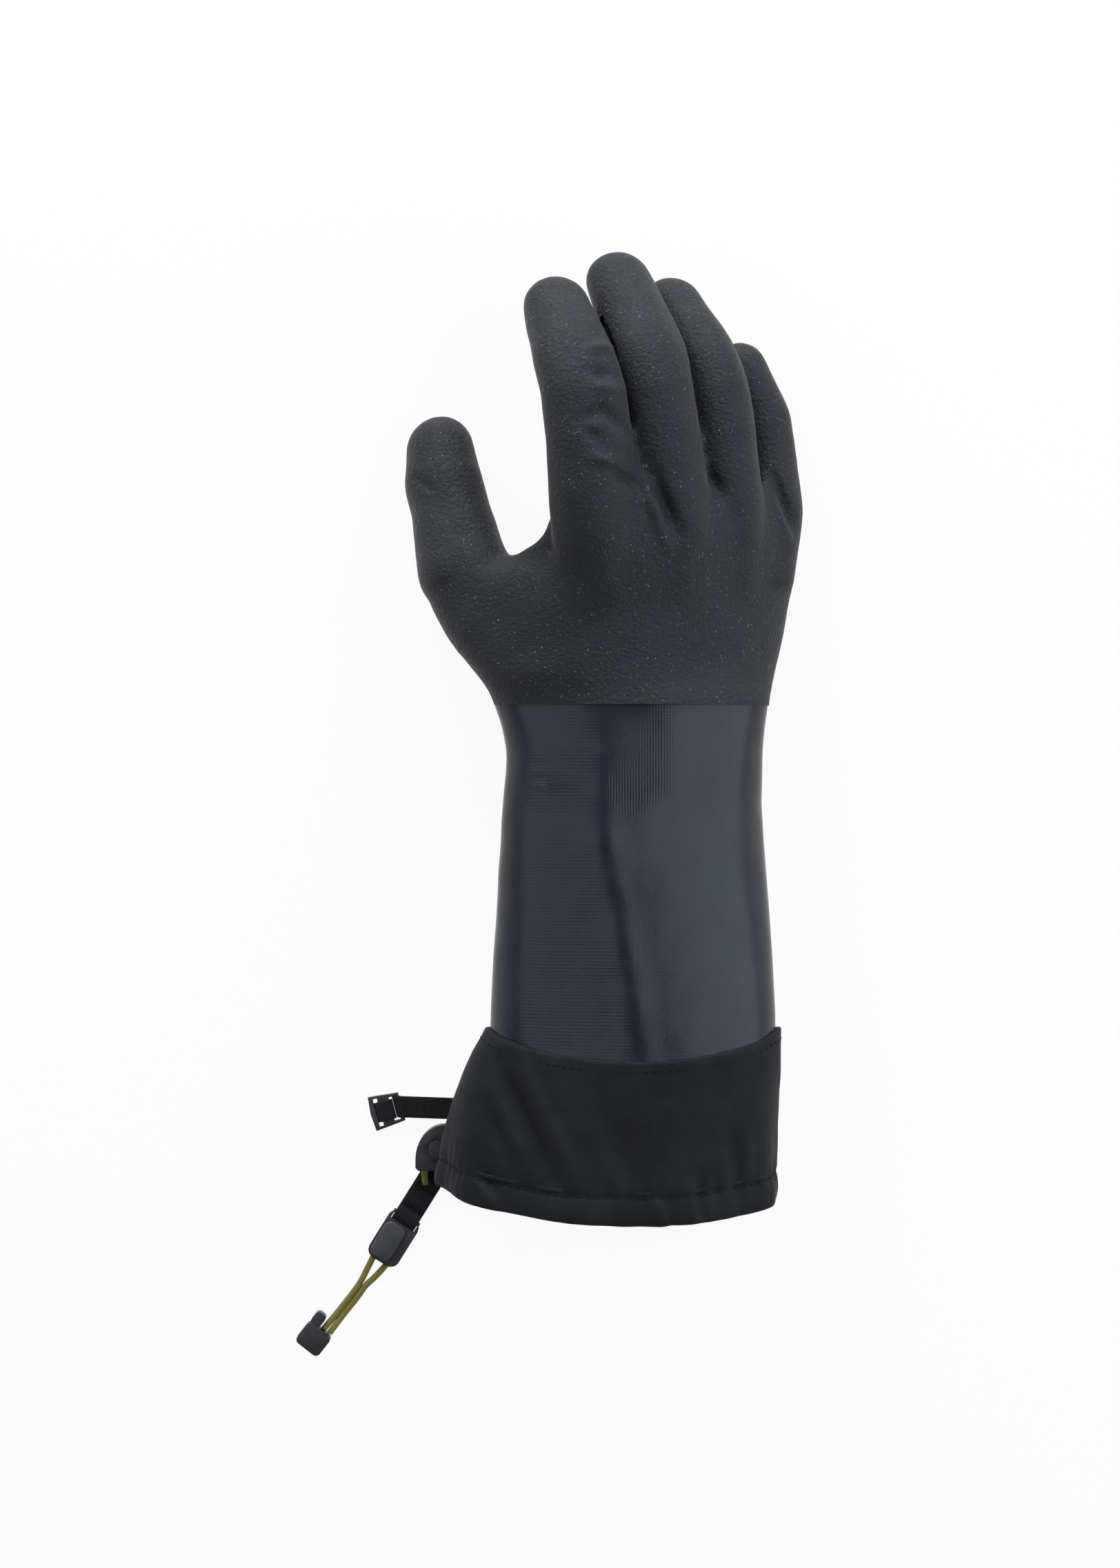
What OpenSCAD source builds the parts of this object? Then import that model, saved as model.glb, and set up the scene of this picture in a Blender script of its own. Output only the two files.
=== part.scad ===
// Insulated right-hand gauntlet glove, lying palm down.
// +X runs to the little finger, +Y to the fingertips and +Z up from the table.

/* [Shell and lining] */
// Thickness of the dipped skin
skin_t = 1.2; // [1:0.1:1.5]
// Thickness of the fleece lining
lining_t = 2.6; // [1.8:0.1:3]
// Gap between one layer and the next
layer_gap = 0.15; // [0.1:0.05:0.25]

/* [Digits] */
// Half the length of a knuckle band, along its digit
knuckle_half = 8; // [7:0.5:8.5]
// Gap between a knuckle band and the sleeves beside it
band_gap = 0.12; // [0.1:0.02:0.2]
// Lean of the planes in which the four fingers bend
finger_lean = 30; // [28:1:32]
// Lean of the plane in which the thumb bends
thumb_lean = -40; // [-44:1:-36]

/* [Cuff] */
// Thickness of the woven nylon
cuff_t = 0.8; // [0.6:0.1:1]
// Share of the cuff that the hem takes up
hem_share = 0.17; // [0.14:0.01:0.2]
// Height of the folds at the hem
fold_h = 1.3; // [0:0.1:1.5]
// Free room across the cord tunnel
tunnel_w = 3.4; // [3.2:0.1:3.8]

/* [Cord and webbing] */
// Diameter of the olive cord
cord_d = 2.3; // [2:0.1:2.4]
// Width of the cinch strap
web_w = 8.2; // [8:0.1:8.6]
// Width of the pull tab
tab_w = 10; // [9:0.5:10]
// Thickness of one layer of webbing
web_t = 0.9; // [0.8:0.05:1]
// Diameter of the sewing thread
thread_d = 0.6; // [0.4:0.1:0.8]

/* [Ladder-lock buckle] */
// Length of the buckle along the strap
buckle_l = 12.4; // [12:0.2:14]
// Width of the buckle at its strap end
buckle_w = 11.2; // [11:0.2:12]
// Width of the buckle at its free end
buckle_end_w = 13.4; // [13:0.2:15]
// Thickness of the buckle's rails
buckle_t = 3; // [2.6:0.1:3.2]

/* [Cord lock] */
// Width of the lock body
lock_w = 12; // [11.5:0.5:12]
// Length of the lock body
lock_l = 17.5; // [17:0.5:18]
// Height of the lock body
lock_h = 9; // [8.8:0.1:9.2]
// Radius of the plunger
plunger_r = 3.4; // [3:0.1:3.6]
// Travel of the plunger
plunger_travel = 1.5; // [1:0.1:1.5]

/* [Leash clip] */
// Length of the clip
clip_l = 22; // [21:0.5:24]
// Width of the clip
clip_w = 13.2; // [13:0.2:15]
// Thickness of the clip's base
clip_t = 3.6; // [3.4:0.1:4]
// Corner radius of the clip's base
clip_corner = 3.6; // [2:0.2:4]
// Thickness of the raised cover
cover_t = 1.8; // [1.4:0.1:2]
// Width of the raised cover
cover_w = 8.8; // [8:0.2:10]

/* [Hidden] */

// Colours
grip_colour = [0.2, 0.2, 0.22];
sleeve_colour = [0.26, 0.27, 0.31];
fleece_colour = [0.5, 0.5, 0.52];
nylon_colour = [0.12, 0.12, 0.14];
thread_colour = [0.17, 0.17, 0.19];
webbing_colour = [0.15, 0.15, 0.17];
plastic_colour = [0.2, 0.2, 0.22];
panel_colour = [0.24, 0.24, 0.26];
cord_colour = [0.45, 0.43, 0.2];
steel_colour = [0.7, 0.71, 0.72];

// Sides of a digit, of the palm and gauntlet, of the cuff, and of a cord
digit_n = 12;
palm_n = 20;
cuff_n = 40;
cord_n = 6;

// The wrist is the origin of the stations below; this puts the base's middle at the origin
frame_shift = [18.94, 9.04, 0];

// Layers, as depths below the outer surface
lining_out = skin_t + layer_gap;
lining_in = lining_out + lining_t;

// Stations of each digit: base, knuckle, middle joint, end joint and tip, each with the
// centre, the half-width and the half-thickness
INDEX = [[-10, 50, 45, 16, 14], [-15.2, 80, 58, 16.6, 13], [-18.5, 120, 65.5, 16.4, 12.5],
    [-22.9, 141, 61, 15.8, 12.2], [-29.5, 162.5, 47.5, 12.7, 11]];
MIDDLE = [[17, 50, 34, 14, 13.5], [15, 80, 44.5, 14.1, 12.8], [9, 125, 52, 13.8, 12],
    [4.2, 147, 48, 14.1, 11.6], [-5.4, 174, 32.5, 12.1, 10.8]];
RING = [[36, 54, 24, 13, 13], [36.6, 82, 30, 12.8, 12.2], [32.4, 124, 34, 12.3, 11.4],
    [26.4, 146, 30, 11.9, 10.8], [14.5, 166.5, 19, 11.4, 10.3]];
LITTLE = [[49, 60, 16, 12, 12], [53.6, 87, 13.4, 11.2, 10.8], [51.4, 115.5, 11, 10.6, 9.8],
    [48.2, 130, 10.8, 10.4, 9.6], [41.6, 144.6, 10.6, 10.3, 9.6]];
THUMB = [[-30, 28, 30, 16, 15], [-60, 58, 28.5, 18, 15.5], [-71, 92, 18.5, 16.3, 13.4],
    [-73.7, 105, 14.8, 14.9, 12.8], [-74.3, 112, 12.9, 13.4, 11.8]];

// Stations of the palm and of the gauntlet: place along Y, centre X and Z, lean, half-width
// and half-thickness
PALM = [[14, 0.3, 29.5, 14, 53.7, 22.5], [24, -1.8, 28.8, 16.5, 55.4, 22.2],
    [38, 8, 27.5, 21, 51.5, 21.5], [52, 12, 28.3, 25, 51.5, 20.5],
    [72, 17.5, 34, 31, 52, 17.5], [88, 19, 36.5, 33, 50, 14]];
PALM_END = [98, 19, 37.5, 33, 44, 9];
GAUNTLET = [[-124, -0.3, 28.2, 0, 54.1, 25.6], [-108, -0.3, 28.2, 0, 53.9, 25.6],
    [-60, 0.1, 28.6, 5, 52.2, 25.5], [-30, 0.4, 29, 8, 50.6, 24.5], [-4, 1.6, 29.4, 11, 49.9, 23.5],
    [14, 0.3, 29.5, 14, 53.7, 22.5]];

// The balls that the web spans: at the thumb, at the index, in its corner and in the heel
WEB = [[-60, 50, 29, 16], [-21, 57, 46, 13], [-30, 63.5, 46, 9], [-44, 31.5, 29, 15]];

// Cuff: top edge and hem, as the side's Y, the dip at the middle, the centre and the half-sizes
CUFF_TOP = [-108.6, 11, -0.2, 28, 56, 27];
CUFF_HEM = [-171.5, 9, -10, 27, 64.4, 29.5];
// Half of what the hem rises towards the thumb side
hem_tilt = 2.8;
fold_count = 9;
// What the cuff's bow adds halfway down: its centre moves to the thumb side and it widens
flare = [0, 0, -9, 0, 8.2, 0];
seam_share = 0.06;
facing_in = cuff_t + layer_gap + tunnel_w;
cord_depth = cuff_t + layer_gap + tunnel_w / 2;
cord_share = 1 - hem_share / 2.4;

// The drawcord is sewn down at one angle, runs round the tunnel and leaves by the eyelet
cord_sewn = 242;
eyelet_angle = 222;
eyelet_r = 4.1;
// Its route from the eyelet, round under the cuff, down through the lock and into the pull tab
DRAW_OUT = [[-61.8, -170, 5.2], [-64.6, -165, 4.8], [-65, -157, 5], [-65.4, -150, 5.2],
    [-68, -147, 5.4], [-71.6, -149.8, 5.5], [-75.4, -156.9, 5.5], [-80.1, -165.7, 5.5],
    [-80.3, -167.8, 4.3]];

// Cord lock: middle of its body, middle of its plunger, and the two ends of its cord bore
LOCK_AT = [-77.8, -156.75, 5.5];
PLUNGER_AT = [-75.4, -156.9, 5.5];
BORE_FROM = [-71.6, -149.8, 5.5];
BORE_TO = [-79.2, -164, 5.5];
bore_r = cord_d / 2 + 0.3;
lock_floor = 1;

// Cinch strap: where it bends off the cuff, the turn of its line, its lengths to the buckle's bar and
// to the seam, and the buckle's turn from it
STRAP_HINGE = [-70, -142.2, 2];
strap_turn = -2;
strap_l = 20.2;
strap_sewn = 23.5;
buckle_turn = 17;
// A folded and sewn webbing is two layers, and ends in a loop round a bar
fold_t = 2 * web_t + 0.2;
bar_r = 0.8;
loop_in = bar_r + 0.22;
loop_out = loop_in + web_t;
loop_room = 3.3;

// Pull tab and leash clip: the clip's bar, the tab's length and the line both follow
CLIP_BAR = [-87.5, -184.4, 2.3];
tab_l = 16.7;
tab_angle = 238;
cord_spread = 2.9;
cord_bore_r = cord_d / 2 + 0.2;

// Leash cords, from inside the clip to the cord end that both share
CORD_LEFT = [[-99.4, -197.9, 2.3], [-100.7, -200.1, 2.2], [-102.9, -204.5, 1.6], [-105.3, -209.2, 1.4],
    [-108.1, -213.3, 1.4], [-111.1, -217.2, 1.4], [-114.3, -221.2, 1.6], [-117.4, -224.9, 2.4],
    [-119.7, -227.6, 3.2]];
CORD_RIGHT = [[-94.5, -201, 2.3], [-95.8, -203.1, 2.2], [-99.8, -207.5, 1.6], [-103.5, -211, 1.4],
    [-106.3, -214.9, 1.4], [-109.3, -218.7, 1.4], [-112.5, -222.7, 1.6], [-115.2, -226.2, 2.4],
    [-117.4, -229.1, 3.2]];
CORD_END_AT = [-121.5, -231.6, 3.4];
cord_end_angle = 232;

// Helpers
function unit(v) = v / norm(v);

function place(p) = [p[0], p[1], p[2]];

// Point and slope at t on the smooth curve from b to c, with a before and d after
function curve(a, b, c, d, t) =
    0.5 * (2 * b + (c - a) * t + (2 * a - 5 * b + 4 * c - d) * t * t
        + (3 * b - a - 3 * c + d) * t * t * t);

function slope(a, b, c, d, t) =
    0.5 * (c - a + 2 * (2 * a - 5 * b + 4 * c - d) * t
        + 3 * (3 * b - a - 3 * c + d) * t * t);

function before(s, i) = i > 0 ? s[i - 1] : 2 * s[0] - s[1];

function after(s, i) = i + 2 < len(s) ? s[i + 2] : 2 * s[i + 1] - s[i];

// Smooth course through stations s, in n steps a stretch, as [station, slope] pairs
function course(s, n) = [
    for (i = [0 : len(s) - 2])
        for (k = [0 : i < len(s) - 2 ? n - 1 : n])
            [curve(before(s, i), s[i], s[i + 1], after(s, i), k / n),
                slope(before(s, i), s[i], s[i + 1], after(s, i), k / n)]];

// Oval ring across a digit: centre, direction, lean and half-sizes
function oval(at, dir, lean, w, h) =
    let (
        t = unit(dir),
        side = [cos(lean), 0, -sin(lean)],
        l = unit(side - (side * t) * t),
        d = cross(l, t))
    [for (k = [0 : digit_n - 1]) at + w * cos(360 * k / digit_n) * l + h * sin(360 * k / digit_n) * d];

// Faces of a skin through rings of n points, seen from outside, or from inside
function skin_faces(rings, n, from, out) = [
    for (r = [0 : rings - 2])
        for (k = [0 : n - 1])
            let (
                a = from + r * n + k,
                b = from + r * n + (k + 1) % n,
                c = b + n,
                d = a + n)
            each out ? [[a, b, c], [a, c, d]] : [[c, b, a], [d, c, a]]];

// Faces of the flat ring between an outer and an inner ring, at the start or at the end
function edge_faces(o, i, n, start) = [
    for (k = [0 : n - 1])
        let (
            j = (k + 1) % n)
        each start ? [[o + k, i + k, i + j], [o + k, i + j, o + j]]
            : [[o + k, o + j, i + j], [o + k, i + j, i + k]]];

function fan_faces(ring, pole, n, start) = [
    for (k = [0 : n - 1])
        let (
            j = (k + 1) % n)
        start ? [ring + j, ring + k, pole] : [ring + k, ring + j, pole]];

function flat(rings) = [for (r = rings) each r];

function middle(ring) = [for (i = [0 : len(ring) - 1]) 1] * ring / len(ring);

// Closed solid through rings
module loft(rings) {
    n = len(rings[0]);
    m = len(rings);
    polyhedron(
        points = concat(flat(rings), [middle(rings[0]), middle(rings[m - 1])]),
        faces = concat(skin_faces(m, n, 0, true), fan_faces(0, m * n, n, true),
            fan_faces((m - 1) * n, m * n + 1, n, false)));
}

// Open tube between outer and inner rings
module tube(outer, inner) {
    n = len(outer[0]);
    m = len(outer);
    polyhedron(
        points = concat(flat(outer), flat(inner)),
        faces = concat(skin_faces(m, n, 0, true), skin_faces(m, n, m * n, false),
            edge_faces(0, m * n, n, true), edge_faces((m - 1) * n, (2 * m - 1) * n, n, false)));
}

// Tube that closes to a pole at its far end
module thimble(outer, inner, outer_pole, inner_pole) {
    n = len(outer[0]);
    m = len(outer);
    p = 2 * m * n;
    polyhedron(
        points = concat(flat(outer), flat(inner), [outer_pole, inner_pole]),
        faces = concat(skin_faces(m, n, 0, true), skin_faces(m, n, m * n, false),
            edge_faces(0, m * n, n, true), fan_faces((m - 1) * n, p, n, false),
            [for (f = fan_faces((2 * m - 1) * n, p + 1, n, false)) [f[2], f[1], f[0]]]));
}

// Ring that runs all the way round through sections of n points
module hoop(sections) {
    n = len(sections[0]);
    m = len(sections);
    polyhedron(
        points = flat(sections),
        faces = [
            for (r = [0 : m - 1])
                for (k = [0 : n - 1])
                    let (
                        a = r * n + k,
                        b = r * n + (k + 1) % n,
                        c = ((r + 1) % m) * n + (k + 1) % n,
                        d = ((r + 1) % m) * n + k)
                    each [[a, b, c], [a, c, d]]]);
}

// Round cord along route points, in steps a stretch
module cord(route, d, steps) {
    loft([
        for (c = course(route, steps))
            let (
                t = unit(c[1]),
                l = unit(cross(t, [0, 0, 1])),
                u = cross(l, t))
            [for (k = [0 : cord_n - 1]) c[0] + d / 2 * (cos(360 * k / cord_n) * l
                + sin(360 * k / cord_n) * u)]]);
}

// Plate with round corners, its thickness upwards
module round_plate(size, r) {
    linear_extrude(size[2]) {
        translate([r, 0])
            square([size[0] - 2 * r, size[1]]);
        translate([0, r])
            square([size[0], size[1] - 2 * r]);
        for (x = [r, size[0] - r], y = [r, size[1] - r])
            translate([x, y])
                circle(r, $fn = 32);
    }
}

module in_frame(shade) {
    color(shade)
        translate(frame_shift)
            children();
}

// Digits
function joint_dir(g) = unit(place(g[3]) - place(g[1]));

// Station on the straight stretch through the middle joint
function joint_at(g, s) = [for (i = [0 : 4]) g[2][i] + (i < 3 ? s * joint_dir(g)[i] : 0)];

function station_ring(c, dir, lean, depth) = oval(place(c), dir, lean, c[3] - depth, c[4] - depth);

// Rings from the base to the knuckle band, or on past its face
function root_rings(g, lean, depth, past) =
    let (
        end = joint_at(g, past - knuckle_half),
        path = course([g[0], g[1], end], 2))
    [for (i = [0 : len(path) - 1])
        station_ring(path[i][0], i < len(path) - 1 ? place(path[i][1]) : joint_dir(g), lean, depth)];

function band_rings(g, lean, depth) = [
    for (s = [-1, 1])
        station_ring(joint_at(g, s * (knuckle_half - band_gap)), joint_dir(g), lean, depth)];

function tip_course(g) = course([joint_at(g, knuckle_half), g[3], g[4]], 2);

function tip_slope(g) = let (path = tip_course(g)) unit(place(path[len(path) - 1][1]));

function tip_reach(g, depth) = (g[4][3] + g[4][4]) / 2 - depth;

// Rings from the knuckle band to the round end of the digit
function tip_rings(g, lean, depth) =
    let (
        path = tip_course(g),
        t = tip_slope(g))
    concat(
        [for (i = [0 : len(path) - 1])
            station_ring(path[i][0], i > 0 ? place(path[i][1]) : joint_dir(g), lean, depth)],
        [for (a = [30, 56, 76])
            oval(place(g[4]) + tip_reach(g, depth) * sin(a) * t, t, lean,
                (g[4][3] - depth) * cos(a), (g[4][4] - depth) * cos(a))]);

function tip_pole(g, depth) = place(g[4]) + tip_reach(g, depth) * tip_slope(g);

module knuckle(g, lean, shade, out, in) {
    in_frame(shade)
        tube(band_rings(g, lean, out), band_rings(g, lean, in));
}

module fingertip(g, lean, shade, out, in) {
    in_frame(shade)
        thimble(tip_rings(g, lean, out), tip_rings(g, lean, in), tip_pole(g, out), tip_pole(g, in));
}

module index_knuckle() { knuckle(INDEX, finger_lean, grip_colour, 0, skin_t); }
module middle_knuckle() { knuckle(MIDDLE, finger_lean, grip_colour, 0, skin_t); }
module ring_knuckle() { knuckle(RING, finger_lean, grip_colour, 0, skin_t); }
module little_knuckle() { knuckle(LITTLE, finger_lean, grip_colour, 0, skin_t); }
module thumb_knuckle() { knuckle(THUMB, thumb_lean, grip_colour, 0, skin_t); }
module index_knuckle_lining() { knuckle(INDEX, finger_lean, fleece_colour, lining_out, lining_in); }
module middle_knuckle_lining() { knuckle(MIDDLE, finger_lean, fleece_colour, lining_out, lining_in); }
module ring_knuckle_lining() { knuckle(RING, finger_lean, fleece_colour, lining_out, lining_in); }
module little_knuckle_lining() { knuckle(LITTLE, finger_lean, fleece_colour, lining_out, lining_in); }
module thumb_knuckle_lining() { knuckle(THUMB, thumb_lean, fleece_colour, lining_out, lining_in); }
module index_tip() { fingertip(INDEX, finger_lean, grip_colour, 0, skin_t); }
module middle_tip() { fingertip(MIDDLE, finger_lean, grip_colour, 0, skin_t); }
module ring_tip() { fingertip(RING, finger_lean, grip_colour, 0, skin_t); }
module little_tip() { fingertip(LITTLE, finger_lean, grip_colour, 0, skin_t); }
module thumb_tip() { fingertip(THUMB, thumb_lean, grip_colour, 0, skin_t); }
module index_tip_lining() { fingertip(INDEX, finger_lean, fleece_colour, lining_out, lining_in); }
module middle_tip_lining() { fingertip(MIDDLE, finger_lean, fleece_colour, lining_out, lining_in); }
module ring_tip_lining() { fingertip(RING, finger_lean, fleece_colour, lining_out, lining_in); }
module little_tip_lining() { fingertip(LITTLE, finger_lean, fleece_colour, lining_out, lining_in); }
module thumb_tip_lining() { fingertip(THUMB, thumb_lean, fleece_colour, lining_out, lining_in); }

// Hand and gauntlet
// Ring across the palm or the gauntlet, upright along Y, kept off the table by its depth
function sleeve_ring(s, depth) = [
    for (k = [0 : palm_n - 1])
        let (
            a = 360 * k / palm_n,
            w = (s[4] - depth) * cos(a),
            h = (s[5] - depth) * sin(a))
        [s[1] + w * cos(s[3]) + h * sin(s[3]), s[0],
            max(depth, s[2] - w * sin(s[3]) + h * cos(s[3]))]];

function sleeve_rings(stations, depth) = [for (c = course(stations, 2)) sleeve_ring(c[0], depth)];

// The hand as one solid at a depth below its surface; past opens the digits, and back the wrist
module hand(depth, past, back) {
    front = PALM_END - [depth, 0, 0, 0, 0, 0];
    loft(concat([if (back > 0) sleeve_ring(PALM[0] - [back, 0, 0, 0, 0, 0], depth)],
        sleeve_rings(concat(PALM, [front]), depth)));
    for (g = [INDEX, MIDDLE, RING, LITTLE])
        loft(root_rings(g, finger_lean, depth, past));
    loft(root_rings(THUMB, thumb_lean, depth, past));
    hull()
        for (b = WEB)
            translate(place(b))
                sphere(b[3] - depth, $fn = 16);
}

// One skin without a joint line: the roots of the digits run into the palm
module hand_layer(out, in) {
    resize([0, 0, 0])
        difference() {
            hand(out, 0, 0);
            hand(in, 1, 1);
        }
}

module hand_shell() {
    in_frame(grip_colour)
        hand_layer(0, skin_t);
}

module hand_lining() {
    in_frame(fleece_colour)
        hand_layer(lining_out, lining_in);
}

module gauntlet_layer(out, in) {
    translate([0, -layer_gap, 0])
        tube(sleeve_rings(GAUNTLET, out), sleeve_rings(GAUNTLET, in));
}

module gauntlet_sleeve() {
    in_frame(sleeve_colour)
        gauntlet_layer(0, skin_t);
}

module gauntlet_lining() {
    in_frame(fleece_colour)
        gauntlet_layer(lining_out, lining_in);
}

// Cuff
// Point on the cuff at an angle round it and a share of the way from top edge to hem
function cuff_point(a, t, depth) =
    let (
        dip = pow(abs(sin(a)), 1.5),
        m = (1 - t) * CUFF_TOP + t * CUFF_HEM + flare * t * (1 - t),
        fold = fold_h * t * cos(fold_count * a + 160 * t) - depth)
    [m[2] + (m[4] + fold) * cos(a), m[0] - m[1] * dip - t * hem_tilt * cos(a),
        max(max(depth, 0), m[3] + (m[5] + fold) * sin(a))];

function cuff_ring(t, depth) = [for (k = [0 : cuff_n - 1]) cuff_point(360 * k / cuff_n, t, depth)];

module cuff_wall(shares) {
    tube([for (t = shares) cuff_ring(t, 0)], [for (t = shares) cuff_ring(t, cuff_t)]);
}

module nylon_cuff() {
    out = cuff_point(eyelet_angle, cord_share, -2);
    in = cuff_point(eyelet_angle, cord_share, cuff_t + 1);
    in_frame(nylon_colour)
        resize([0, 0, 0])
            difference() {
                cuff_wall([for (i = [6 : -1 : 0]) i / 6]);
                bar_between(in, out, eyelet_r);
            }
}

// Round bar from one point to another
module bar_between(a, b, r) {
    v = b - a;
    translate(a)
        rotate([0, acos(v[2] / norm(v)), atan2(v[1], v[0])])
            cylinder(h = norm(v), r = r, $fn = 32);
}

// Thread round the cuff, proud of it
module thread_line(t) {
    proud = -thread_d / 2 - 0.1;
    step = 360 / cuff_n;
    loft([
        for (i = [-5 : cuff_n / 2 + 5])
            let (
                a = i * step,
                p = cuff_point(a, t, proud),
                v = unit(cuff_point(a + 1, t, proud) - cuff_point(a - 1, t, proud)),
                l = unit(cross(v, [0, 1, 0])),
                u = cross(l, v))
            [for (k = [0 : 3]) p + thread_d / 2 * (cos(90 * k) * l + sin(90 * k) * u)]]);
}

module cuff_seam_stitching() {
    in_frame(thread_colour)
        thread_line(seam_share);
}

module hem_stitching() {
    in_frame(thread_colour)
        thread_line(1 - hem_share);
}

// Turned-in cloth that closes the cord tunnel inside the hem
module hem_facing() {
    top = 1 - hem_share;
    near = cuff_t + layer_gap;
    far = facing_in + cuff_t;
    profile = [[top - 0.03, near], [top - 0.03, near + cuff_t], [top + 0.05, far], [1, far],
        [1, near], [0.985, near], [0.985, facing_in], [top + 0.05, facing_in]];
    in_frame(nylon_colour)
        hoop([for (k = [0 : cuff_n - 1]) [for (p = profile) cuff_point(360 * k / cuff_n, p[0], p[1])]]);
}

module hem_drawcord() {
    turns = [for (a = [cord_sewn : 10 : 360 + eyelet_angle - 8]) cuff_point(a, cord_share, cord_depth)];
    in_frame(cord_colour)
        cord(concat(turns, [cuff_point(eyelet_angle, cord_share, cuff_t / 2)], DRAW_OUT), cord_d, 1);
}

// Cord lock
module cord_lock_outline() {
    foot = 1.2;
    reach = [lock_w - 0.9, 12.8];
    polygon(concat([[-lock_w / 2, foot - lock_l / 2], [foot - lock_w / 2, -lock_l / 2],
        [lock_w / 2, -lock_l / 2], [lock_w / 2, lock_l / 2]],
        [for (a = [90 : 10 : 180]) [lock_w / 2 - 0.9 + reach[0] * cos(a),
            lock_l / 2 - reach[1] + reach[1] * sin(a)]]));
}

module cord_lock_body() {
    in_frame(plastic_colour)
        difference() {
            translate([LOCK_AT[0], LOCK_AT[1], lock_floor])
                linear_extrude(lock_h)
                    cord_lock_outline();
            translate([PLUNGER_AT[0], PLUNGER_AT[1], 2 * lock_floor])
                cylinder(h = lock_h, r = plunger_r + 0.2, $fn = 32);
            bar_between(2 * BORE_FROM - BORE_TO, 2 * BORE_TO - BORE_FROM, bore_r);
        }
}

module cord_lock_plunger() {
    bottom = 2 * lock_floor + 0.2 + plunger_travel;
    top = lock_floor + lock_h + plunger_travel + 0.3;
    rise = [0, 0, plunger_travel];
    ends = [2 * BORE_FROM - BORE_TO, 2 * BORE_TO - BORE_FROM];
    run = ends[1] - ends[0];
    in_frame(panel_colour)
        difference() {
            translate([PLUNGER_AT[0], PLUNGER_AT[1], bottom])
                cylinder(h = top - bottom, r = plunger_r, $fn = 32);
            bar_between(ends[0], ends[1], bore_r);
            bar_between(ends[0] + rise, ends[1] + rise, bore_r);
            translate(ends[0])
                rotate([0, 0, atan2(run[1], run[0])])
                    translate([0, -bore_r, 0])
                        cube([norm(run), 2 * bore_r, plunger_travel]);
        }
}

// Wave washer under the plunger
module cord_lock_spring() {
    in_frame(steel_colour)
        translate([PLUNGER_AT[0], PLUNGER_AT[1], 2 * lock_floor + 0.1])
            rotate_extrude($fn = 32)
                translate([1.6, 0])
                    square([1, plunger_travel]);
}

// Webbing that holds the lock to the cuff
module cord_lock_anchor() {
    reach = 8.6;
    in_frame(webbing_colour)
        translate([LOCK_AT[0] + lock_w / 2 + 0.1, LOCK_AT[1] - 5.65, lock_floor + lock_h - 0.8])
            cube([reach, 5, web_t]);
}

// Cinch strap and its ladder-lock buckle
module along_strap() {
    translate(STRAP_HINGE)
        rotate([0, 0, strap_turn])
            children();
}

module strap_anchor() {
    start = fold_t / 2 + 0.3;
    in_frame(webbing_colour)
        along_strap()
            translate([start, -web_w / 2, -fold_t / 2])
                cube([strap_sewn - start, web_w, fold_t]);
}

module strap_bar_tack() {
    in_frame(thread_colour)
        along_strap()
            translate([strap_sewn - 5, -web_w / 2 + 1, fold_t / 2 + 0.05])
                cube([4, web_w - 2, 2.2]);
}

// Round rod across the strap's line
module cross_rod(x, r, w) {
    translate([x, w / 2, 0])
        rotate([90, 0, 0])
            cylinder(h = w, r = r, $fn = 32);
}

// Doubled webbing that ends in a loop round a turned bar at the origin and runs off along +X
module looped_webbing(l, w, turn) {
    difference() {
        union() {
            translate([0, -w / 2, -fold_t / 2])
                cube([l, w, fold_t]);
            rotate([0, 0, turn])
                cross_rod(0, loop_out, w);
        }
        rotate([0, 0, turn])
            cross_rod(0, loop_in, 2 * w);
    }
}

module cinch_strap() {
    in_frame(webbing_colour)
        along_strap() {
            translate([-strap_l, 0, 0])
                looped_webbing(strap_l, web_w, buckle_turn);
            cross_rod(0, fold_t / 2, web_w);
        }
}

// The bar that the strap loops round, a broad grip bar between two windows, and a flared end
module ladder_buckle() {
    window = web_w + 1.2;
    slot = buckle_end_w - 2.4;
    bars = [loop_room, 7.7, 9.5];
    end = buckle_l - bar_r;
    in_frame(plastic_colour)
        along_strap()
            translate([-strap_l, 0, 0])
                rotate([0, 0, buckle_turn])
                    mirror([1, 0, 0]) {
                        difference() {
                            translate([0, 0, -buckle_t / 2])
                                linear_extrude(buckle_t)
                                    polygon([[0, -buckle_w / 2], [end - 0.6, -buckle_end_w / 2], [end, 0],
                                        [end - 0.6, buckle_end_w / 2], [0, buckle_w / 2]]);
                            translate([-1, -window / 2, -buckle_t])
                                cube([bars[0] + 1, window, 2 * buckle_t]);
                            translate([bars[1], -slot / 2, -buckle_t])
                                cube([bars[2] - bars[1], slot, 2 * buckle_t]);
                        }
                        cross_rod(0, bar_r, buckle_w);
                    }
}

// Pull tab and leash clip
module along_tab() {
    translate(CLIP_BAR)
        rotate([0, 0, tab_angle])
            children();
}

module pull_tab() {
    in_frame(webbing_colour)
        along_tab()
            mirror([1, 0, 0])
                looped_webbing(tab_l, tab_w, 0);
}

module pull_tab_bar_tack() {
    in_frame(thread_colour)
        along_tab()
            for (x = [5, 13])
                translate([-x - 1, -tab_w / 2 + 1, fold_t / 2 + 0.05])
                    cube([1.6, tab_w - 2, 0.5]);
}

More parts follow.
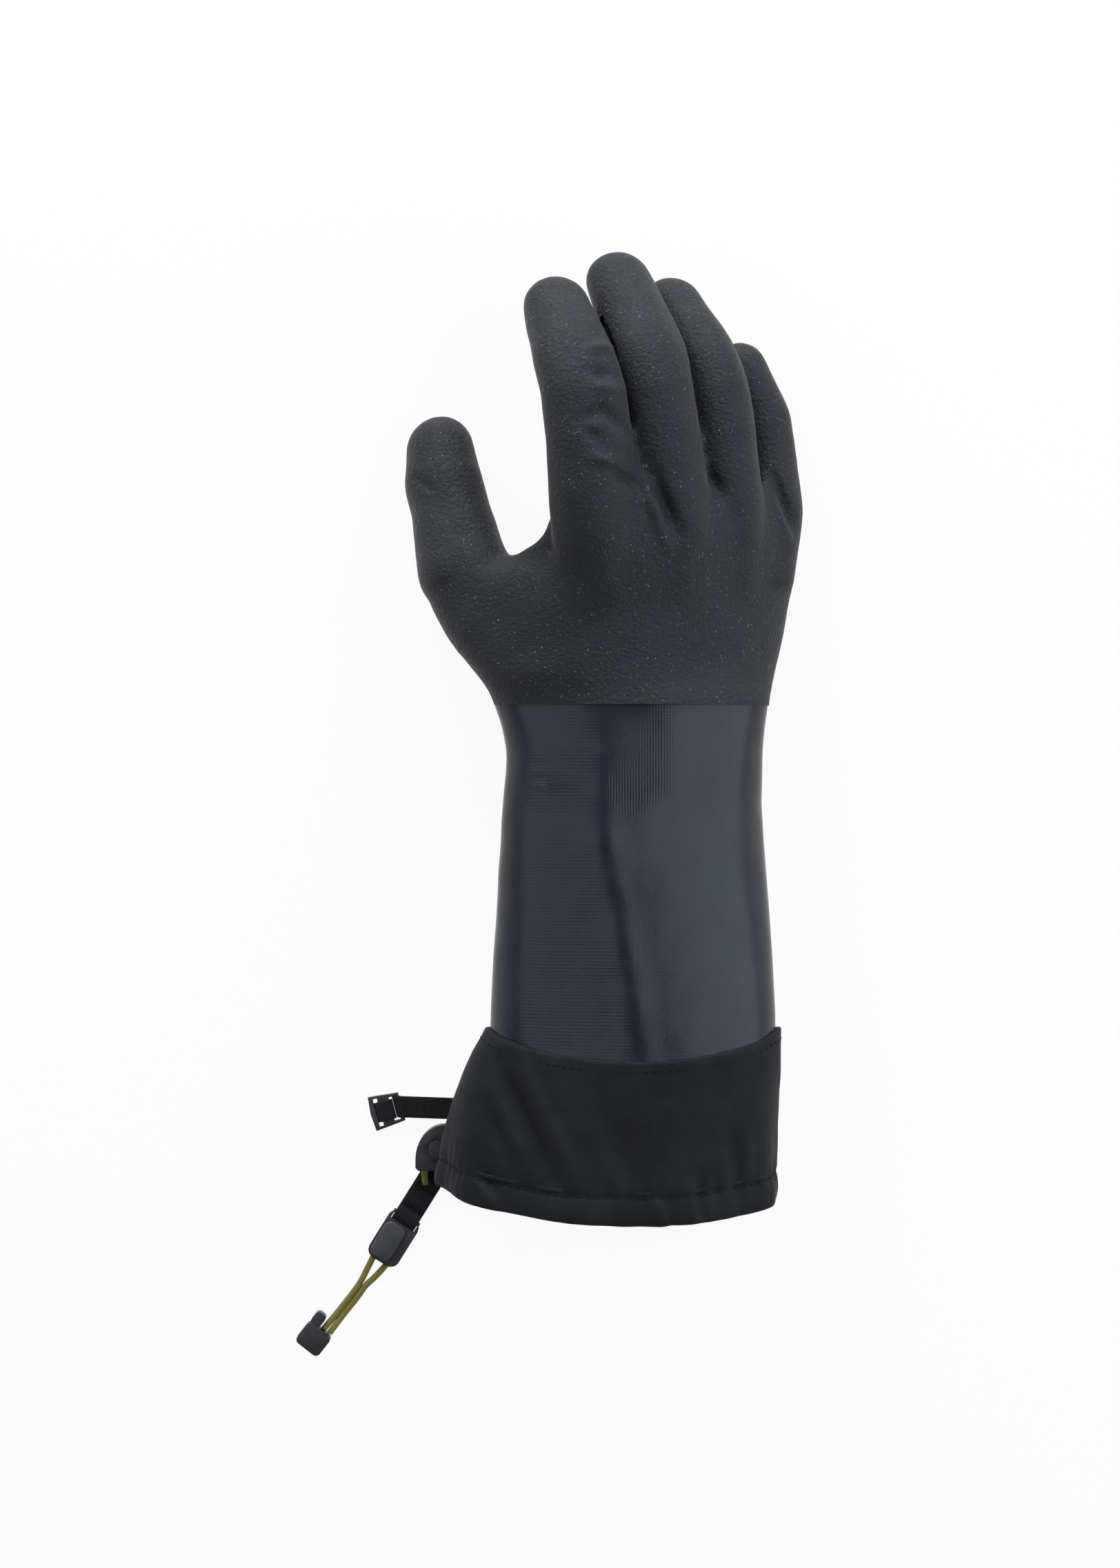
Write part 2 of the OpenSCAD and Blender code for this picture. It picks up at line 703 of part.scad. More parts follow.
module leash_clip_base() {
    window = tab_w + 0.6;
    end = clip_l - 2.2;
    in_frame(plastic_colour)
        along_tab() {
            difference() {
                translate([-bar_r, -clip_w / 2, -clip_t / 2])
                    round_plate([end + bar_r, clip_w, clip_t], clip_corner);
                translate([-4, -window / 2, -clip_t])
                    cube([4 + loop_room, window, 2 * clip_t]);
                for (y = [-cord_spread, cord_spread])
                    bar_between([end - 5, y, 0], [end + 1, y, 0], cord_bore_r);
            }
            cross_rod(0, bar_r, window + 1);
        }
}

module leash_clip_cover() {
    start = loop_room + 0.4;
    in_frame(panel_colour)
        along_tab()
            translate([start, -clip_w / 2 + 0.7, clip_t / 2 + 0.05])
                round_plate([clip_l - 3.4 - start, cover_w, cover_t], 2.8);
}

// Leash cords and the moulded end that holds both
module leash_cord_left() {
    in_frame(cord_colour)
        cord(CORD_LEFT, cord_d, 1);
}

module leash_cord_right() {
    in_frame(cord_colour)
        cord(CORD_RIGHT, cord_d, 1);
}

module leash_cord_end() {
    in_frame(plastic_colour)
        translate([CORD_END_AT[0], CORD_END_AT[1], 0.3])
            rotate([0, 0, cord_end_angle]) {
                translate([-4, -7.4, 0])
                    round_plate([9.5, 11, 6.2], 2);
                translate([-9.2, -7.2, 0.6])
                    round_plate([6, 4.4, 5], 1.6);
            }
}

hand_shell();
hand_lining();
gauntlet_sleeve();
gauntlet_lining();
index_knuckle();
middle_knuckle();
ring_knuckle();
little_knuckle();
thumb_knuckle();
index_knuckle_lining();
middle_knuckle_lining();
ring_knuckle_lining();
little_knuckle_lining();
thumb_knuckle_lining();
index_tip();
middle_tip();
ring_tip();
little_tip();
thumb_tip();
index_tip_lining();
middle_tip_lining();
ring_tip_lining();
little_tip_lining();
thumb_tip_lining();
nylon_cuff();
cuff_seam_stitching();
hem_facing();
hem_stitching();
hem_drawcord();
cord_lock_body();
cord_lock_spring();
cord_lock_plunger();
cord_lock_anchor();
strap_anchor();
strap_bar_tack();
cinch_strap();
ladder_buckle();
pull_tab();
pull_tab_bar_tack();
leash_clip_base();
leash_clip_cover();
leash_cord_left();
leash_cord_right();
leash_cord_end();
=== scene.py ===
"""Looks of an insulated right-hand gauntlet glove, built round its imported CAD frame."""

import logging
import math
from dataclasses import dataclass
from enum import Enum
from typing import Callable, Sequence

import bmesh
import bpy
import numpy as np
from mathutils import Matrix, Vector, noise


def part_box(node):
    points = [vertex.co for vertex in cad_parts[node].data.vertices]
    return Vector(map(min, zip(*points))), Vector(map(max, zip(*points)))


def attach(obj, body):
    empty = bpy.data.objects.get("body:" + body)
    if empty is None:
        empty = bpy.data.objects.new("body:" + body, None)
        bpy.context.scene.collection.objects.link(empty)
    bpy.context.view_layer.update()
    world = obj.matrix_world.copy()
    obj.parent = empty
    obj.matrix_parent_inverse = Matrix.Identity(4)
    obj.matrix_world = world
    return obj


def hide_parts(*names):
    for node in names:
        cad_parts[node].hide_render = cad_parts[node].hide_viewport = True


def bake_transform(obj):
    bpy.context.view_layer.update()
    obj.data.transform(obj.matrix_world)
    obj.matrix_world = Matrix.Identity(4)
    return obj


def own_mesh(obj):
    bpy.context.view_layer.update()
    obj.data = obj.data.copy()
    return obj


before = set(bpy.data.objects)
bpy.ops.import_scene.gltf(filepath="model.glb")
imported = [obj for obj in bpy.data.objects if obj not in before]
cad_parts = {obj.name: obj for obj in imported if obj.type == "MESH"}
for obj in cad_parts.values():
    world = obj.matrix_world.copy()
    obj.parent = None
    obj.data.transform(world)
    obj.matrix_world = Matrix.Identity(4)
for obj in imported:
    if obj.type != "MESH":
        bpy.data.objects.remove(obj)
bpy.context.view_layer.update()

LOG = logging.getLogger("glove")
MM = 0.001
SHIFT = Vector((18.94, 9.04, 0.0))
PIXEL = 0.26
PHOTO_ROWS = 2274
TIP_ANGLES = (14, 28, 42, 55, 67, 77, 85)

Colour = tuple[float, float, float]
Station = Sequence[float]


class Body(str, Enum):
    """CAD bodies that pieces ride on."""

    GLOVE = "glove"
    PLUNGER = "lock_plunger"
    STRAP = "strap"
    BUCKLE = "buckle"
    CLIP = "leash_clip"


class Slot(str, Enum):
    """Material slots of the record."""

    GRIP = "grip_coat"
    SMOOTH = "smooth_coat"
    FLEECE = "fleece"
    NYLON = "nylon"
    THREAD = "thread"
    WEBBING = "webbing"
    PLASTIC = "black_plastic"
    PANEL = "panel_plastic"
    CORD = "olive_cord"
    STEEL = "spring_steel"


def place(x: float, y: float, z: float) -> Vector:
    """Point of the frame, in metres, from millimetres measured at the wrist.

    Args:
        x: Millimetres towards the little finger.
        y: Millimetres towards the fingertips.
        z: Millimetres above the table.

    Returns:
        The point in the CAD frame.
    """
    return (Vector((x, y, z)) + SHIFT) * MM


def course(stations: Sequence[Station], steps: int) -> list[tuple[np.ndarray, np.ndarray]]:
    """Smooth course through stations.

    Args:
        stations: Rows of numbers, the first three a place in millimetres.
        steps: Points to each stretch.

    Returns:
        Pairs of a station and the slope there.
    """
    s = np.array(stations, float)
    s = np.vstack([2 * s[0] - s[1], s, 2 * s[-1] - s[-2]])
    found = []
    for i in range(1, len(s) - 2):
        a, b, c, d = s[i - 1 : i + 3]
        last = steps if i == len(s) - 3 else steps - 1
        for k in range(last + 1):
            t = k / steps
            p = 0.5 * (2 * b + (c - a) * t + (2 * a - 5 * b + 4 * c - d) * t**2
                       + (3 * b - a - 3 * c + d) * t**3)
            v = 0.5 * (c - a + 2 * (2 * a - 5 * b + 4 * c - d) * t
                       + 3 * (3 * b - a - 3 * c + d) * t**2)
            found.append((p, v))
    return found


def axes_frame(axes: Sequence[Vector], origin: Vector) -> Matrix:
    """Matrix of three axes and an origin.

    Args:
        axes: The three axes, in metres.
        origin: The origin, in metres.

    Returns:
        The matrix.
    """
    m = Matrix.Identity(4)
    for column, axis in enumerate(axes):
        m.col[column] = axis.to_4d()
        m[3][column] = 0
    m.col[3] = origin.to_4d()
    return m


def ring_frame(centre: Sequence[float], along: Sequence[float], lean: float,
               half_w: float, half_h: float) -> Matrix:
    """Frame of an oval ring across a limb.

    Args:
        centre: Middle of the ring, in millimetres.
        along: Direction of the limb.
        lean: Lean of the ring's width, in degrees.
        half_w: Half the width, in millimetres.
        half_h: Half the thickness, in millimetres.

    Returns:
        The matrix that takes a unit circle to the ring.
    """
    t = Vector(along[:3]).normalized()
    side = Vector((math.cos(math.radians(lean)), 0, -math.sin(math.radians(lean))))
    across = (side - side.dot(t) * t).normalized()
    up = across.cross(t)
    return axes_frame((across * half_w * MM, up * half_h * MM, t * MM), place(*centre[:3]))


def arm_ring(row: Sequence[float], grow: float) -> Matrix:
    """Frame of a ring that stands square across the arm.

    Args:
        row: The y, x and z of its middle, its lean in degrees and its two half-sizes.
        grow: Millimetres that the half-sizes grow by.

    Returns:
        The matrix that takes a unit circle to the ring.
    """
    y, x, z, lean, w, h = row
    up = math.radians(lean)
    wide, tall = w + grow, h + grow
    across = Vector((math.cos(up) * wide, 0, -math.sin(up) * wide)) * MM
    above = Vector((math.sin(up) * tall, 0, math.cos(up) * tall)) * MM
    return axes_frame((across, above, Vector((0, MM, 0))), place(x, y, z))


def add_loft(bm: bmesh.types.BMesh, rings: Sequence[Matrix], sides: int,
             capped: bool) -> list[list[bmesh.types.BMVert]]:
    """Skin through rings.

    Args:
        bm: Mesh that takes the skin.
        rings: Frames of the rings, in order.
        sides: Points of each ring.
        capped: Whether both ends are closed.

    Returns:
        The vertices of each ring.
    """
    loops = []
    for m in rings:
        made = bmesh.ops.create_circle(bm, cap_ends=False, segments=sides, radius=1, matrix=m)
        loops.append(made["verts"])
    edges = [list({e for v in ring for e in v.link_edges}) for ring in loops]
    for first, second in zip(edges, edges[1:]):
        bmesh.ops.bridge_loops(bm, edges=first + second)
    if capped:
        for ring in (edges[0], edges[-1]):
            bmesh.ops.contextual_create(bm, geom=ring)
    return loops


def new_piece(name: str, bm: bmesh.types.BMesh, outward: bool = True) -> bpy.types.Object:
    """Object of a finished bmesh.

    Args:
        name: Name of the piece.
        bm: Its mesh, which is freed.
        outward: Whether the faces are turned outwards first.

    Returns:
        The object, linked to the scene.
    """
    if outward:
        bmesh.ops.recalc_face_normals(bm, faces=bm.faces)
    mesh = bpy.data.meshes.new(name)
    bm.to_mesh(mesh)
    bm.free()
    mesh.shade_smooth()
    piece = bpy.data.objects.new(name, mesh)
    bpy.context.scene.collection.objects.link(piece)
    return piece


def bake_modifiers(piece: bpy.types.Object) -> None:
    """Puts what the modifiers make into the piece's own mesh.

    Args:
        piece: Object whose modifiers are used up.
    """
    bpy.context.view_layer.update()
    shown = piece.evaluated_get(bpy.context.evaluated_depsgraph_get())
    mesh = bpy.data.meshes.new_from_object(shown)
    piece.modifiers.clear()
    old, piece.data = piece.data, mesh
    mesh.name = piece.name
    bpy.data.meshes.remove(old)


def add_wall(piece: bpy.types.Object, thickness: float,
             offset: float = -1.0) -> bpy.types.Modifier:
    """Gives an open skin a wall, which bake_modifiers then makes.

    Args:
        piece: The skin.
        thickness: Thickness of the wall, in millimetres.
        offset: Side that the wall grows to: -1 inwards, 0 both ways.

    Returns:
        The modifier.
    """
    wall = piece.modifiers.new("wall", "SOLIDIFY")
    wall.thickness = thickness * MM
    wall.offset = offset
    return wall


def add_stitch(bm: bmesh.types.BMesh, spot: Vector, turn: Matrix, half: Station) -> None:
    """Adds one stitch, a long bead, to a mesh.

    Args:
        bm: Mesh that takes the stitch.
        spot: Its middle, in metres.
        turn: Its turn.
        half: Half its length, width and height, in millimetres.
    """
    size = Matrix.Diagonal((half[0] * MM, half[1] * MM, half[2] * MM, 1))
    bmesh.ops.create_icosphere(bm, subdivisions=1, radius=1,
                               matrix=Matrix.Translation(spot) @ turn @ size)


def mesh_points(mesh: bpy.types.Mesh) -> tuple[np.ndarray, np.ndarray]:
    """Points and normals of a mesh, the points in millimetres from the wrist.

    Args:
        mesh: Mesh that is read.

    Returns:
        The points and the normals, one row each.
    """
    count = len(mesh.vertices)
    points, normals = np.zeros(count * 3), np.zeros(count * 3)
    mesh.vertices.foreach_get("co", points)
    mesh.vertex_normals.foreach_get("vector", normals)
    return points.reshape(-1, 3) / MM - np.array(SHIFT), normals.reshape(-1, 3)


def set_points(mesh: bpy.types.Mesh, points: np.ndarray) -> None:
    """Moves the points of a mesh to millimetres from the wrist."""
    mesh.vertices.foreach_set("co", ((points + np.array(SHIFT)) * MM).ravel())
    mesh.update()


def wander(points: np.ndarray, size: float, seed: float) -> np.ndarray:
    """Slow noise from -1 to 1 at points in millimetres.

    Args:
        points: Places, in millimetres.
        size: Size of one swell, in millimetres.
        seed: Offset that picks the pattern.

    Returns:
        One number a point.
    """
    off = Vector((seed, 2 * seed, 3 * seed))
    return np.array([noise.noise(Vector(p / size) + off) for p in points])


def swelling(points: np.ndarray, rows: Sequence[Station]) -> np.ndarray:
    """Sum of some slow noises.

    Args:
        points: Places, in millimetres.
        rows: Size, height and seed of each noise, in millimetres.

    Returns:
        Millimetres outwards, one a point.
    """
    return sum(height * wander(points, size, seed) for size, height, seed in rows)


@dataclass(frozen=True)
class Crease:
    """A fold seen from above: a valley along a line, with a ridge beside it."""

    start: tuple[float, float]
    end: tuple[float, float]
    depth: float
    width: float
    ridge: float = 0.0
    low: float = 5.0
    high: float = 90.0

    def offset(self, points: np.ndarray, normals: np.ndarray) -> np.ndarray:
        """Offset along the normals that the fold makes.

        Args:
            points: Places, in millimetres.
            normals: Directions there.

        Returns:
            Millimetres outwards, one a point.
        """
        a, b = np.array(self.start), np.array(self.end)
        line = b - a
        length = np.linalg.norm(line)
        t = np.clip((points[:, :2] - a) @ line / length**2, 0, 1)
        gap = points[:, :2] - a - t[:, None] * line
        side = (gap[:, 0] * line[1] - gap[:, 1] * line[0]) / length
        far = np.linalg.norm(gap, axis=1)
        fade = np.sin(np.pi * np.clip(t, 0.06, 0.94)) ** 0.6
        top = np.clip(normals[:, 2], 0, 1) ** 0.5
        inside = (points[:, 2] > self.low) & (points[:, 2] < self.high)
        valley = -self.depth * np.exp(-((far / self.width) ** 2))
        crest = np.hypot(side - 1.7 * self.width, far - np.abs(side))
        ridge = self.ridge * np.exp(-((crest / self.width) ** 2))
        return (valley + ridge) * fade * top * inside


class Nodes:
    """Builds one procedural material."""

    def __init__(self, name: str) -> None:
        """Starts a material with a Principled shader.

        Args:
            name: Name of the material.
        """
        self.material = bpy.data.materials.new(name)
        self.material.use_nodes = True
        self.tree = self.material.node_tree
        self.shader = self.tree.nodes["Principled BSDF"]
        coordinates = self.tree.nodes.new("ShaderNodeTexCoord")
        self.object = coordinates.outputs["Object"]

    def link(self, source: bpy.types.NodeSocket, target: bpy.types.NodeSocket) -> None:
        """Joins two sockets."""
        self.tree.links.new(source, target)

    def mapped(self, scale: Colour, turn: Colour = (0, 0, 0)) -> bpy.types.NodeSocket:
        """Object coordinates stretched by scale and turned, in degrees.

        Args:
            scale: Stretch along each axis.
            turn: Turn about each axis, in degrees.

        Returns:
            The coordinates.
        """
        node = self.tree.nodes.new("ShaderNodeMapping")
        node.inputs["Scale"].default_value = scale
        node.inputs["Rotation"].default_value = [math.radians(a) for a in turn]
        self.link(self.object, node.inputs["Vector"])
        return node.outputs["Vector"]

    def noise(self, size: float, detail: float = 2.0,
              vector: bpy.types.NodeSocket | None = None) -> bpy.types.NodeSocket:
        """Noise whose swells are size millimetres across.

        Args:
            size: Size of one swell, in millimetres.
            detail: Octaves of finer noise.
            vector: Coordinates in place of the object's own.

        Returns:
            Height from 0 to 1.
        """
        node = self.tree.nodes.new("ShaderNodeTexNoise")
        node.inputs["Scale"].default_value = 1 / (size * MM)
        node.inputs["Detail"].default_value = detail
        self.link(vector or self.object, node.inputs["Vector"])
        return node.outputs["Fac"]

    def ribs(self, pitch: float, axis: str, wobble: float = 0.0,
             vector: bpy.types.NodeSocket | None = None) -> bpy.types.NodeSocket:
        """Rounded ribs with a pitch in millimetres, one after another along an axis.

        Args:
            pitch: Millimetres from rib to rib.
            axis: Axis that crosses the ribs.
            wobble: How far the ribs stray.
            vector: Coordinates in place of the object's own.

        Returns:
            Height from 0 to 1.
        """
        node = self.tree.nodes.new("ShaderNodeTexWave")
        node.bands_direction = axis
        node.inputs["Scale"].default_value = 2 * math.pi / 20 / (pitch * MM)
        node.inputs["Distortion"].default_value = wobble
        node.inputs["Detail"].default_value = 2.0
        node.inputs["Detail Scale"].default_value = 1.5
        self.link(vector or self.object, node.inputs["Vector"])
        return node.outputs["Fac"]

    def zone(self, left: float, right: float, near: float, far: float,
             soft: float) -> bpy.types.NodeSocket:
        """Share from 0 to 1 of a place seen from above, with soft borders.

        Args:
            left: Millimetres from the wrist to the left border.
            right: Millimetres from the wrist to the right border.
            near: Millimetres from the wrist to the near border.
            far: Millimetres from the wrist to the far border.
            soft: Width of the borders, in millimetres.

        Returns:
            The share.
        """
        split = self.tree.nodes.new("ShaderNodeSeparateXYZ")
        self.link(self.object, split.inputs[0])
        low, high = place(left, near, 0), place(right, far, 0)
        share = None
        for axis in range(2):
            for at, edge in ((low[axis], soft), (high[axis], -soft)):
                ramp = self.span(split.outputs[axis], at, at + edge * MM, 0, 1)
                share = ramp if share is None else self.sums(share, ramp, "MULTIPLY")
        return share

    def dots(self, pitch: float) -> bpy.types.NodeSocket:
        """Distance from scattered grains, as a share of their pitch in millimetres.

        Args:
            pitch: Millimetres from grain to grain.

        Returns:
            The share.
        """
        node = self.tree.nodes.new("ShaderNodeTexVoronoi")
        node.inputs["Scale"].default_value = 1 / (pitch * MM)
        self.link(self.object, node.inputs["Vector"])
        return node.outputs["Distance"]

    def ramp(self, source: bpy.types.NodeSocket, low: float, high: float,
             dark: Colour, light: Colour) -> bpy.types.NodeSocket:
        """Colour from dark to light as the source goes from low to high.

        Args:
            source: Number that is read.
            low: Its value at the dark end.
            high: Its value at the light end.
            dark: Colour at the dark end.
            light: Colour at the light end.

        Returns:
            The colour.
        """
        node = self.tree.nodes.new("ShaderNodeValToRGB")
        for stop, at, shade in zip(node.color_ramp.elements, (low, high), (dark, light)):
            stop.position = at
            stop.color = (*shade, 1)
        self.link(source, node.inputs["Fac"])
        return node.outputs["Color"]

    def span(self, source: bpy.types.NodeSocket, low: float, high: float,
             start: float, end: float) -> bpy.types.NodeSocket:
        """Number from start to end as the source goes from low to high.

        Args:
            source: Number that is read.
            low: Its value at the start.
            high: Its value at the end.
            start: Result at the start.
            end: Result at the end.

        Returns:
            The number.
        """
        node = self.tree.nodes.new("ShaderNodeMapRange")
        for name, value in (("From Min", low), ("From Max", high),
                            ("To Min", start), ("To Max", end)):
            node.inputs[name].default_value = value
        self.link(source, node.inputs["Value"])
        return node.outputs["Result"]

    def sums(self, first: bpy.types.NodeSocket, second: bpy.types.NodeSocket,
             operation: str = "ADD") -> bpy.types.NodeSocket:
        """Two numbers joined by a Math operation.

        Args:
            first: First number.
            second: Second number.
            operation: Name of the operation.

        Returns:
            The number.
        """
        node = self.tree.nodes.new("ShaderNodeMath")
        node.operation = operation
        self.link(first, node.inputs[0])
        self.link(second, node.inputs[1])
        return node.outputs["Value"]

    def lighten(self, base: bpy.types.NodeSocket, amount: bpy.types.NodeSocket,
                shade: Colour) -> bpy.types.NodeSocket:
        """Base colour that goes to shade by an amount.

        Args:
            base: Colour at amount 0.
            amount: Share from 0 to 1.
            shade: Colour at amount 1.

        Returns:
            The colour.
        """
        node = self.tree.nodes.new("ShaderNodeMix")
        node.data_type = "RGBA"
        self.link(amount, node.inputs["Factor"])
        colours = [s for s in node.inputs if s.type == "RGBA"]
        self.link(base, colours[0])
        colours[1].default_value = (*shade, 1)
        return next(s for s in node.outputs if s.type == "RGBA")

    def bump(self, height: bpy.types.NodeSocket, depth: float, strength: float = 1.0) -> None:
        """Adds relief of a depth in millimetres to the shader's normal.

        Args:
            height: Height from 0 to 1.
            depth: Depth of the relief, in millimetres.
            strength: Share of the relief that shows.
        """
        node = self.tree.nodes.new("ShaderNodeBump")
        node.inputs["Distance"].default_value = depth * MM
        node.inputs["Strength"].default_value = strength
        self.link(height, node.inputs["Height"])
        normal = self.shader.inputs["Normal"]
        if normal.is_linked:
            self.link(normal.links[0].from_socket, node.inputs["Normal"])
        self.link(node.outputs["Normal"], normal)

    def set(self, **values: float) -> None:
        """Sets sockets of the shader, with _ for a space in their names."""
        for name, value in values.items():
            self.shader.inputs[name.replace("_", " ")].default_value = value

    def finish(self, colour: bpy.types.NodeSocket,
               rough: bpy.types.NodeSocket | None = None) -> bpy.types.Material:
        """Joins colour and roughness to the shader.

        Args:
            colour: Base colour.
            rough: Roughness, where it varies.

        Returns:
            The material.
        """
        self.link(colour, self.shader.inputs["Base Color"])
        if rough is not None:
            self.link(rough, self.shader.inputs["Roughness"])
        return self.material


@dataclass(frozen=True)
class GripCoat:
    """Matte dipped coat with a sandy grain, and pale specks painted in as glints off the grain."""

    dark: Colour = (0.0080, 0.0086, 0.0122)
    light: Colour = (0.0120, 0.0127, 0.0172)
    glint_colour: Colour = (0.22, 0.22, 0.23)
    grain: float = 1.3
    rough: tuple[float, float] = (0.52, 0.7)

    def build(self) -> bpy.types.Material:
        """Makes the material.

        Returns:
            The material.
        """
        n = Nodes("grip_coat")
        swell = n.noise(14, 3)
        grain = n.noise(self.grain, 3)
        # Painted glints: pale specks in the base colour stand in for light sparkling off the grain.
        glint_specks = n.sums(n.span(n.dots(1.7), 0.08, 0.17, 1, 0),
                        n.span(n.noise(3, 1), 0.4, 0.66, 0, 1), "MULTIPLY")
        base = n.ramp(n.sums(swell, n.span(grain, 0.3, 0.7, -0.2, 0.2)), 0.25, 0.75,
                      self.dark, self.light)
        colour = n.lighten(base, glint_specks, self.glint_colour)
        n.bump(grain, 0.62, 1.0)
        n.bump(n.noise(0.6, 2), 0.3, 0.8)
        n.set(Specular_IOR_Level=0.36, Sheen_Weight=0.12, Sheen_Roughness=0.35)
        return n.finish(colour, n.span(grain, 0.3, 0.7, *self.rough))


@dataclass(frozen=True)
class SmoothCoat:
    """Satin dipped coat, with the ribs of the knit beneath it."""

    dark: Colour = (0.0128, 0.0146, 0.0205)
    light: Colour = (0.0165, 0.0188, 0.0258)
    rib_pitch: float = 1.25
    wale_pitch: float = 1.05
    wale_zone: tuple[float, float, float, float, float] = (-16, 22, -30, 18, 15)
    rough: tuple[float, float] = (0.23, 0.3)

    def build(self) -> bpy.types.Material:
        """Makes the material.

        Returns:
            The material.
        """
        n = Nodes("smooth_coat")
        swell = n.noise(18, 3)
        height = n.sums(n.ribs(self.rib_pitch, "Y", 2.0),
                        n.span(n.noise(4, 2), 0.3, 0.7, 0.25, 1), "MULTIPLY")
        wales = n.sums(n.ribs(self.wale_pitch, "X", 1.2), n.zone(*self.wale_zone), "MULTIPLY")
        n.bump(height, 0.06, 0.6)
        n.bump(wales, 0.11, 0.8)
        n.bump(n.noise(1.1, 2), 0.08, 0.5)
        n.set(Specular_IOR_Level=0.33)
        return n.finish(n.ramp(swell, 0.3, 0.7, self.dark, self.light),
                        n.span(n.noise(9, 3), 0.3, 0.7, *self.rough))


@dataclass(frozen=True)
class Fleece:
    """Brushed pile of the lining."""

    dark: Colour = (0.13, 0.13, 0.145)
    light: Colour = (0.26, 0.26, 0.275)

    def build(self) -> bpy.types.Material:
        """Makes the material.

        Returns:
            The material.
        """
        n = Nodes("fleece")
        curl = n.noise(1.6, 4)
        n.bump(curl, 0.9, 1.0)
        n.bump(n.noise(0.5, 2), 0.4, 0.8)
        n.set(Roughness=0.95, Sheen_Weight=0.35, Specular_IOR_Level=0.15)
        return n.finish(n.ramp(curl, 0.3, 0.7, self.dark, self.light))


@dataclass(frozen=True)
class WovenNylon:
    """Plain-weave nylon with a faint sheen."""

    dark: Colour = (0.0062, 0.0066, 0.0088)
    light: Colour = (0.0112, 0.0117, 0.0150)
    thread: float = 0.55

    def build(self) -> bpy.types.Material:
        """Makes the material.

        Returns:
            The material.
        """
        n = Nodes("woven_nylon")
        weave = n.sums(n.ribs(self.thread, "X", 0.4), n.ribs(self.thread, "Y", 0.4), "MULTIPLY")
        n.bump(weave, 0.09, 0.7)
        n.bump(n.noise(7, 3), 0.35, 0.5)
        n.set(Sheen_Weight=0.03, Sheen_Roughness=0.4, Specular_IOR_Level=0.18)
        return n.finish(n.ramp(n.noise(16, 4), 0.3, 0.7, self.dark, self.light),
                        n.span(weave, 0, 1, 0.62, 0.8))


@dataclass(frozen=True)
class RibbedWeb:
    """Narrow webbing with ribs across it."""

    name: str
    turn: float
    dark: Colour = (0.0095, 0.0092, 0.0112)
    light: Colour = (0.0215, 0.0205, 0.0245)
    pitch: float = 0.95

    def build(self) -> bpy.types.Material:
        """Makes the material, its ribs crossing a line turned from X, in degrees.

        Returns:
            The material.
        """
        n = Nodes(self.name)
        lined = n.mapped((1, 1, 1), (0, 0, -self.turn))
        ribs = n.ribs(self.pitch, "X", 0.3, lined)
        yarn = n.ribs(0.6, "Y", 0.5, lined)
        n.bump(ribs, 0.22, 0.9)
        n.bump(yarn, 0.08, 0.6)
        n.set(Sheen_Weight=0.03, Specular_IOR_Level=0.2)
        return n.finish(n.ramp(n.sums(ribs, yarn, "MULTIPLY"), 0.05, 0.7, self.dark, self.light),
                        n.span(ribs, 0, 1, 0.9, 0.7))


@dataclass(frozen=True)
class Moulding:
    """Satin moulded plastic with a fine spark-eroded grain."""

    name: str
    dark: Colour
    light: Colour
    rough: tuple[float, float] = (0.36, 0.52)

    def build(self) -> bpy.types.Material:
        """Makes the material.

        Returns:
            The material.
        """
        n = Nodes(self.name)
        n.bump(n.noise(0.45, 2), 0.05, 0.6)
        n.set(Specular_IOR_Level=0.5)
        return n.finish(n.ramp(n.noise(5, 3), 0.3, 0.7, self.dark, self.light),
                        n.span(n.noise(2.2, 3), 0.3, 0.7, *self.rough))


@dataclass(frozen=True)
class OliveBraid:
    """Fine braided cord."""

    dark: Colour = (0.145, 0.132, 0.024)
    light: Colour = (0.225, 0.205, 0.048)

    def build(self) -> bpy.types.Material:
        """Makes the material.

        Returns:
            The material.
        """
        n = Nodes("olive_braid")
        strands = n.sums(n.ribs(0.7, "X", 0.6, n.mapped((1, 1, 1), (0, 0, 20))),
                         n.ribs(0.7, "Y", 0.6, n.mapped((1, 1, 1), (0, 0, 20))), "MULTIPLY")
        n.bump(strands, 0.08, 0.6)
        n.set(Sheen_Weight=0.15, Specular_IOR_Level=0.3)
        return n.finish(n.ramp(strands, 0.02, 0.55, self.dark, self.light),
                        n.span(strands, 0, 1, 0.85, 0.6))


@dataclass(frozen=True)
class SewingThread:
    """Twisted black thread."""

    dark: Colour = (0.004, 0.004, 0.005)
    light: Colour = (0.012, 0.012, 0.014)

    def build(self) -> bpy.types.Material:
        """Makes the material.

        Returns:
            The material.
        """
        n = Nodes("sewing_thread")
        twist = n.ribs(0.5, "DIAGONAL", 0.3)
        n.bump(twist, 0.08, 0.8)
        n.set(Specular_IOR_Level=0.2)
        return n.finish(n.ramp(twist, 0.1, 0.9, self.dark, self.light),
                        n.span(twist, 0, 1, 0.85, 0.7))


@dataclass(frozen=True)
class SpringSteel:
    """Bright drawn steel."""

    dark: Colour = (0.42, 0.43, 0.44)
    light: Colour = (0.6, 0.61, 0.62)

    def build(self) -> bpy.types.Material:
        """Makes the material.

        Returns:
            The material.
        """
        n = Nodes("spring_steel")
        n.set(Metallic=1.0)
        return n.finish(n.ramp(n.noise(0.8, 3), 0.3, 0.7, self.dark, self.light),
                        n.span(n.noise(0.3, 2), 0.3, 0.7, 0.2, 0.35))


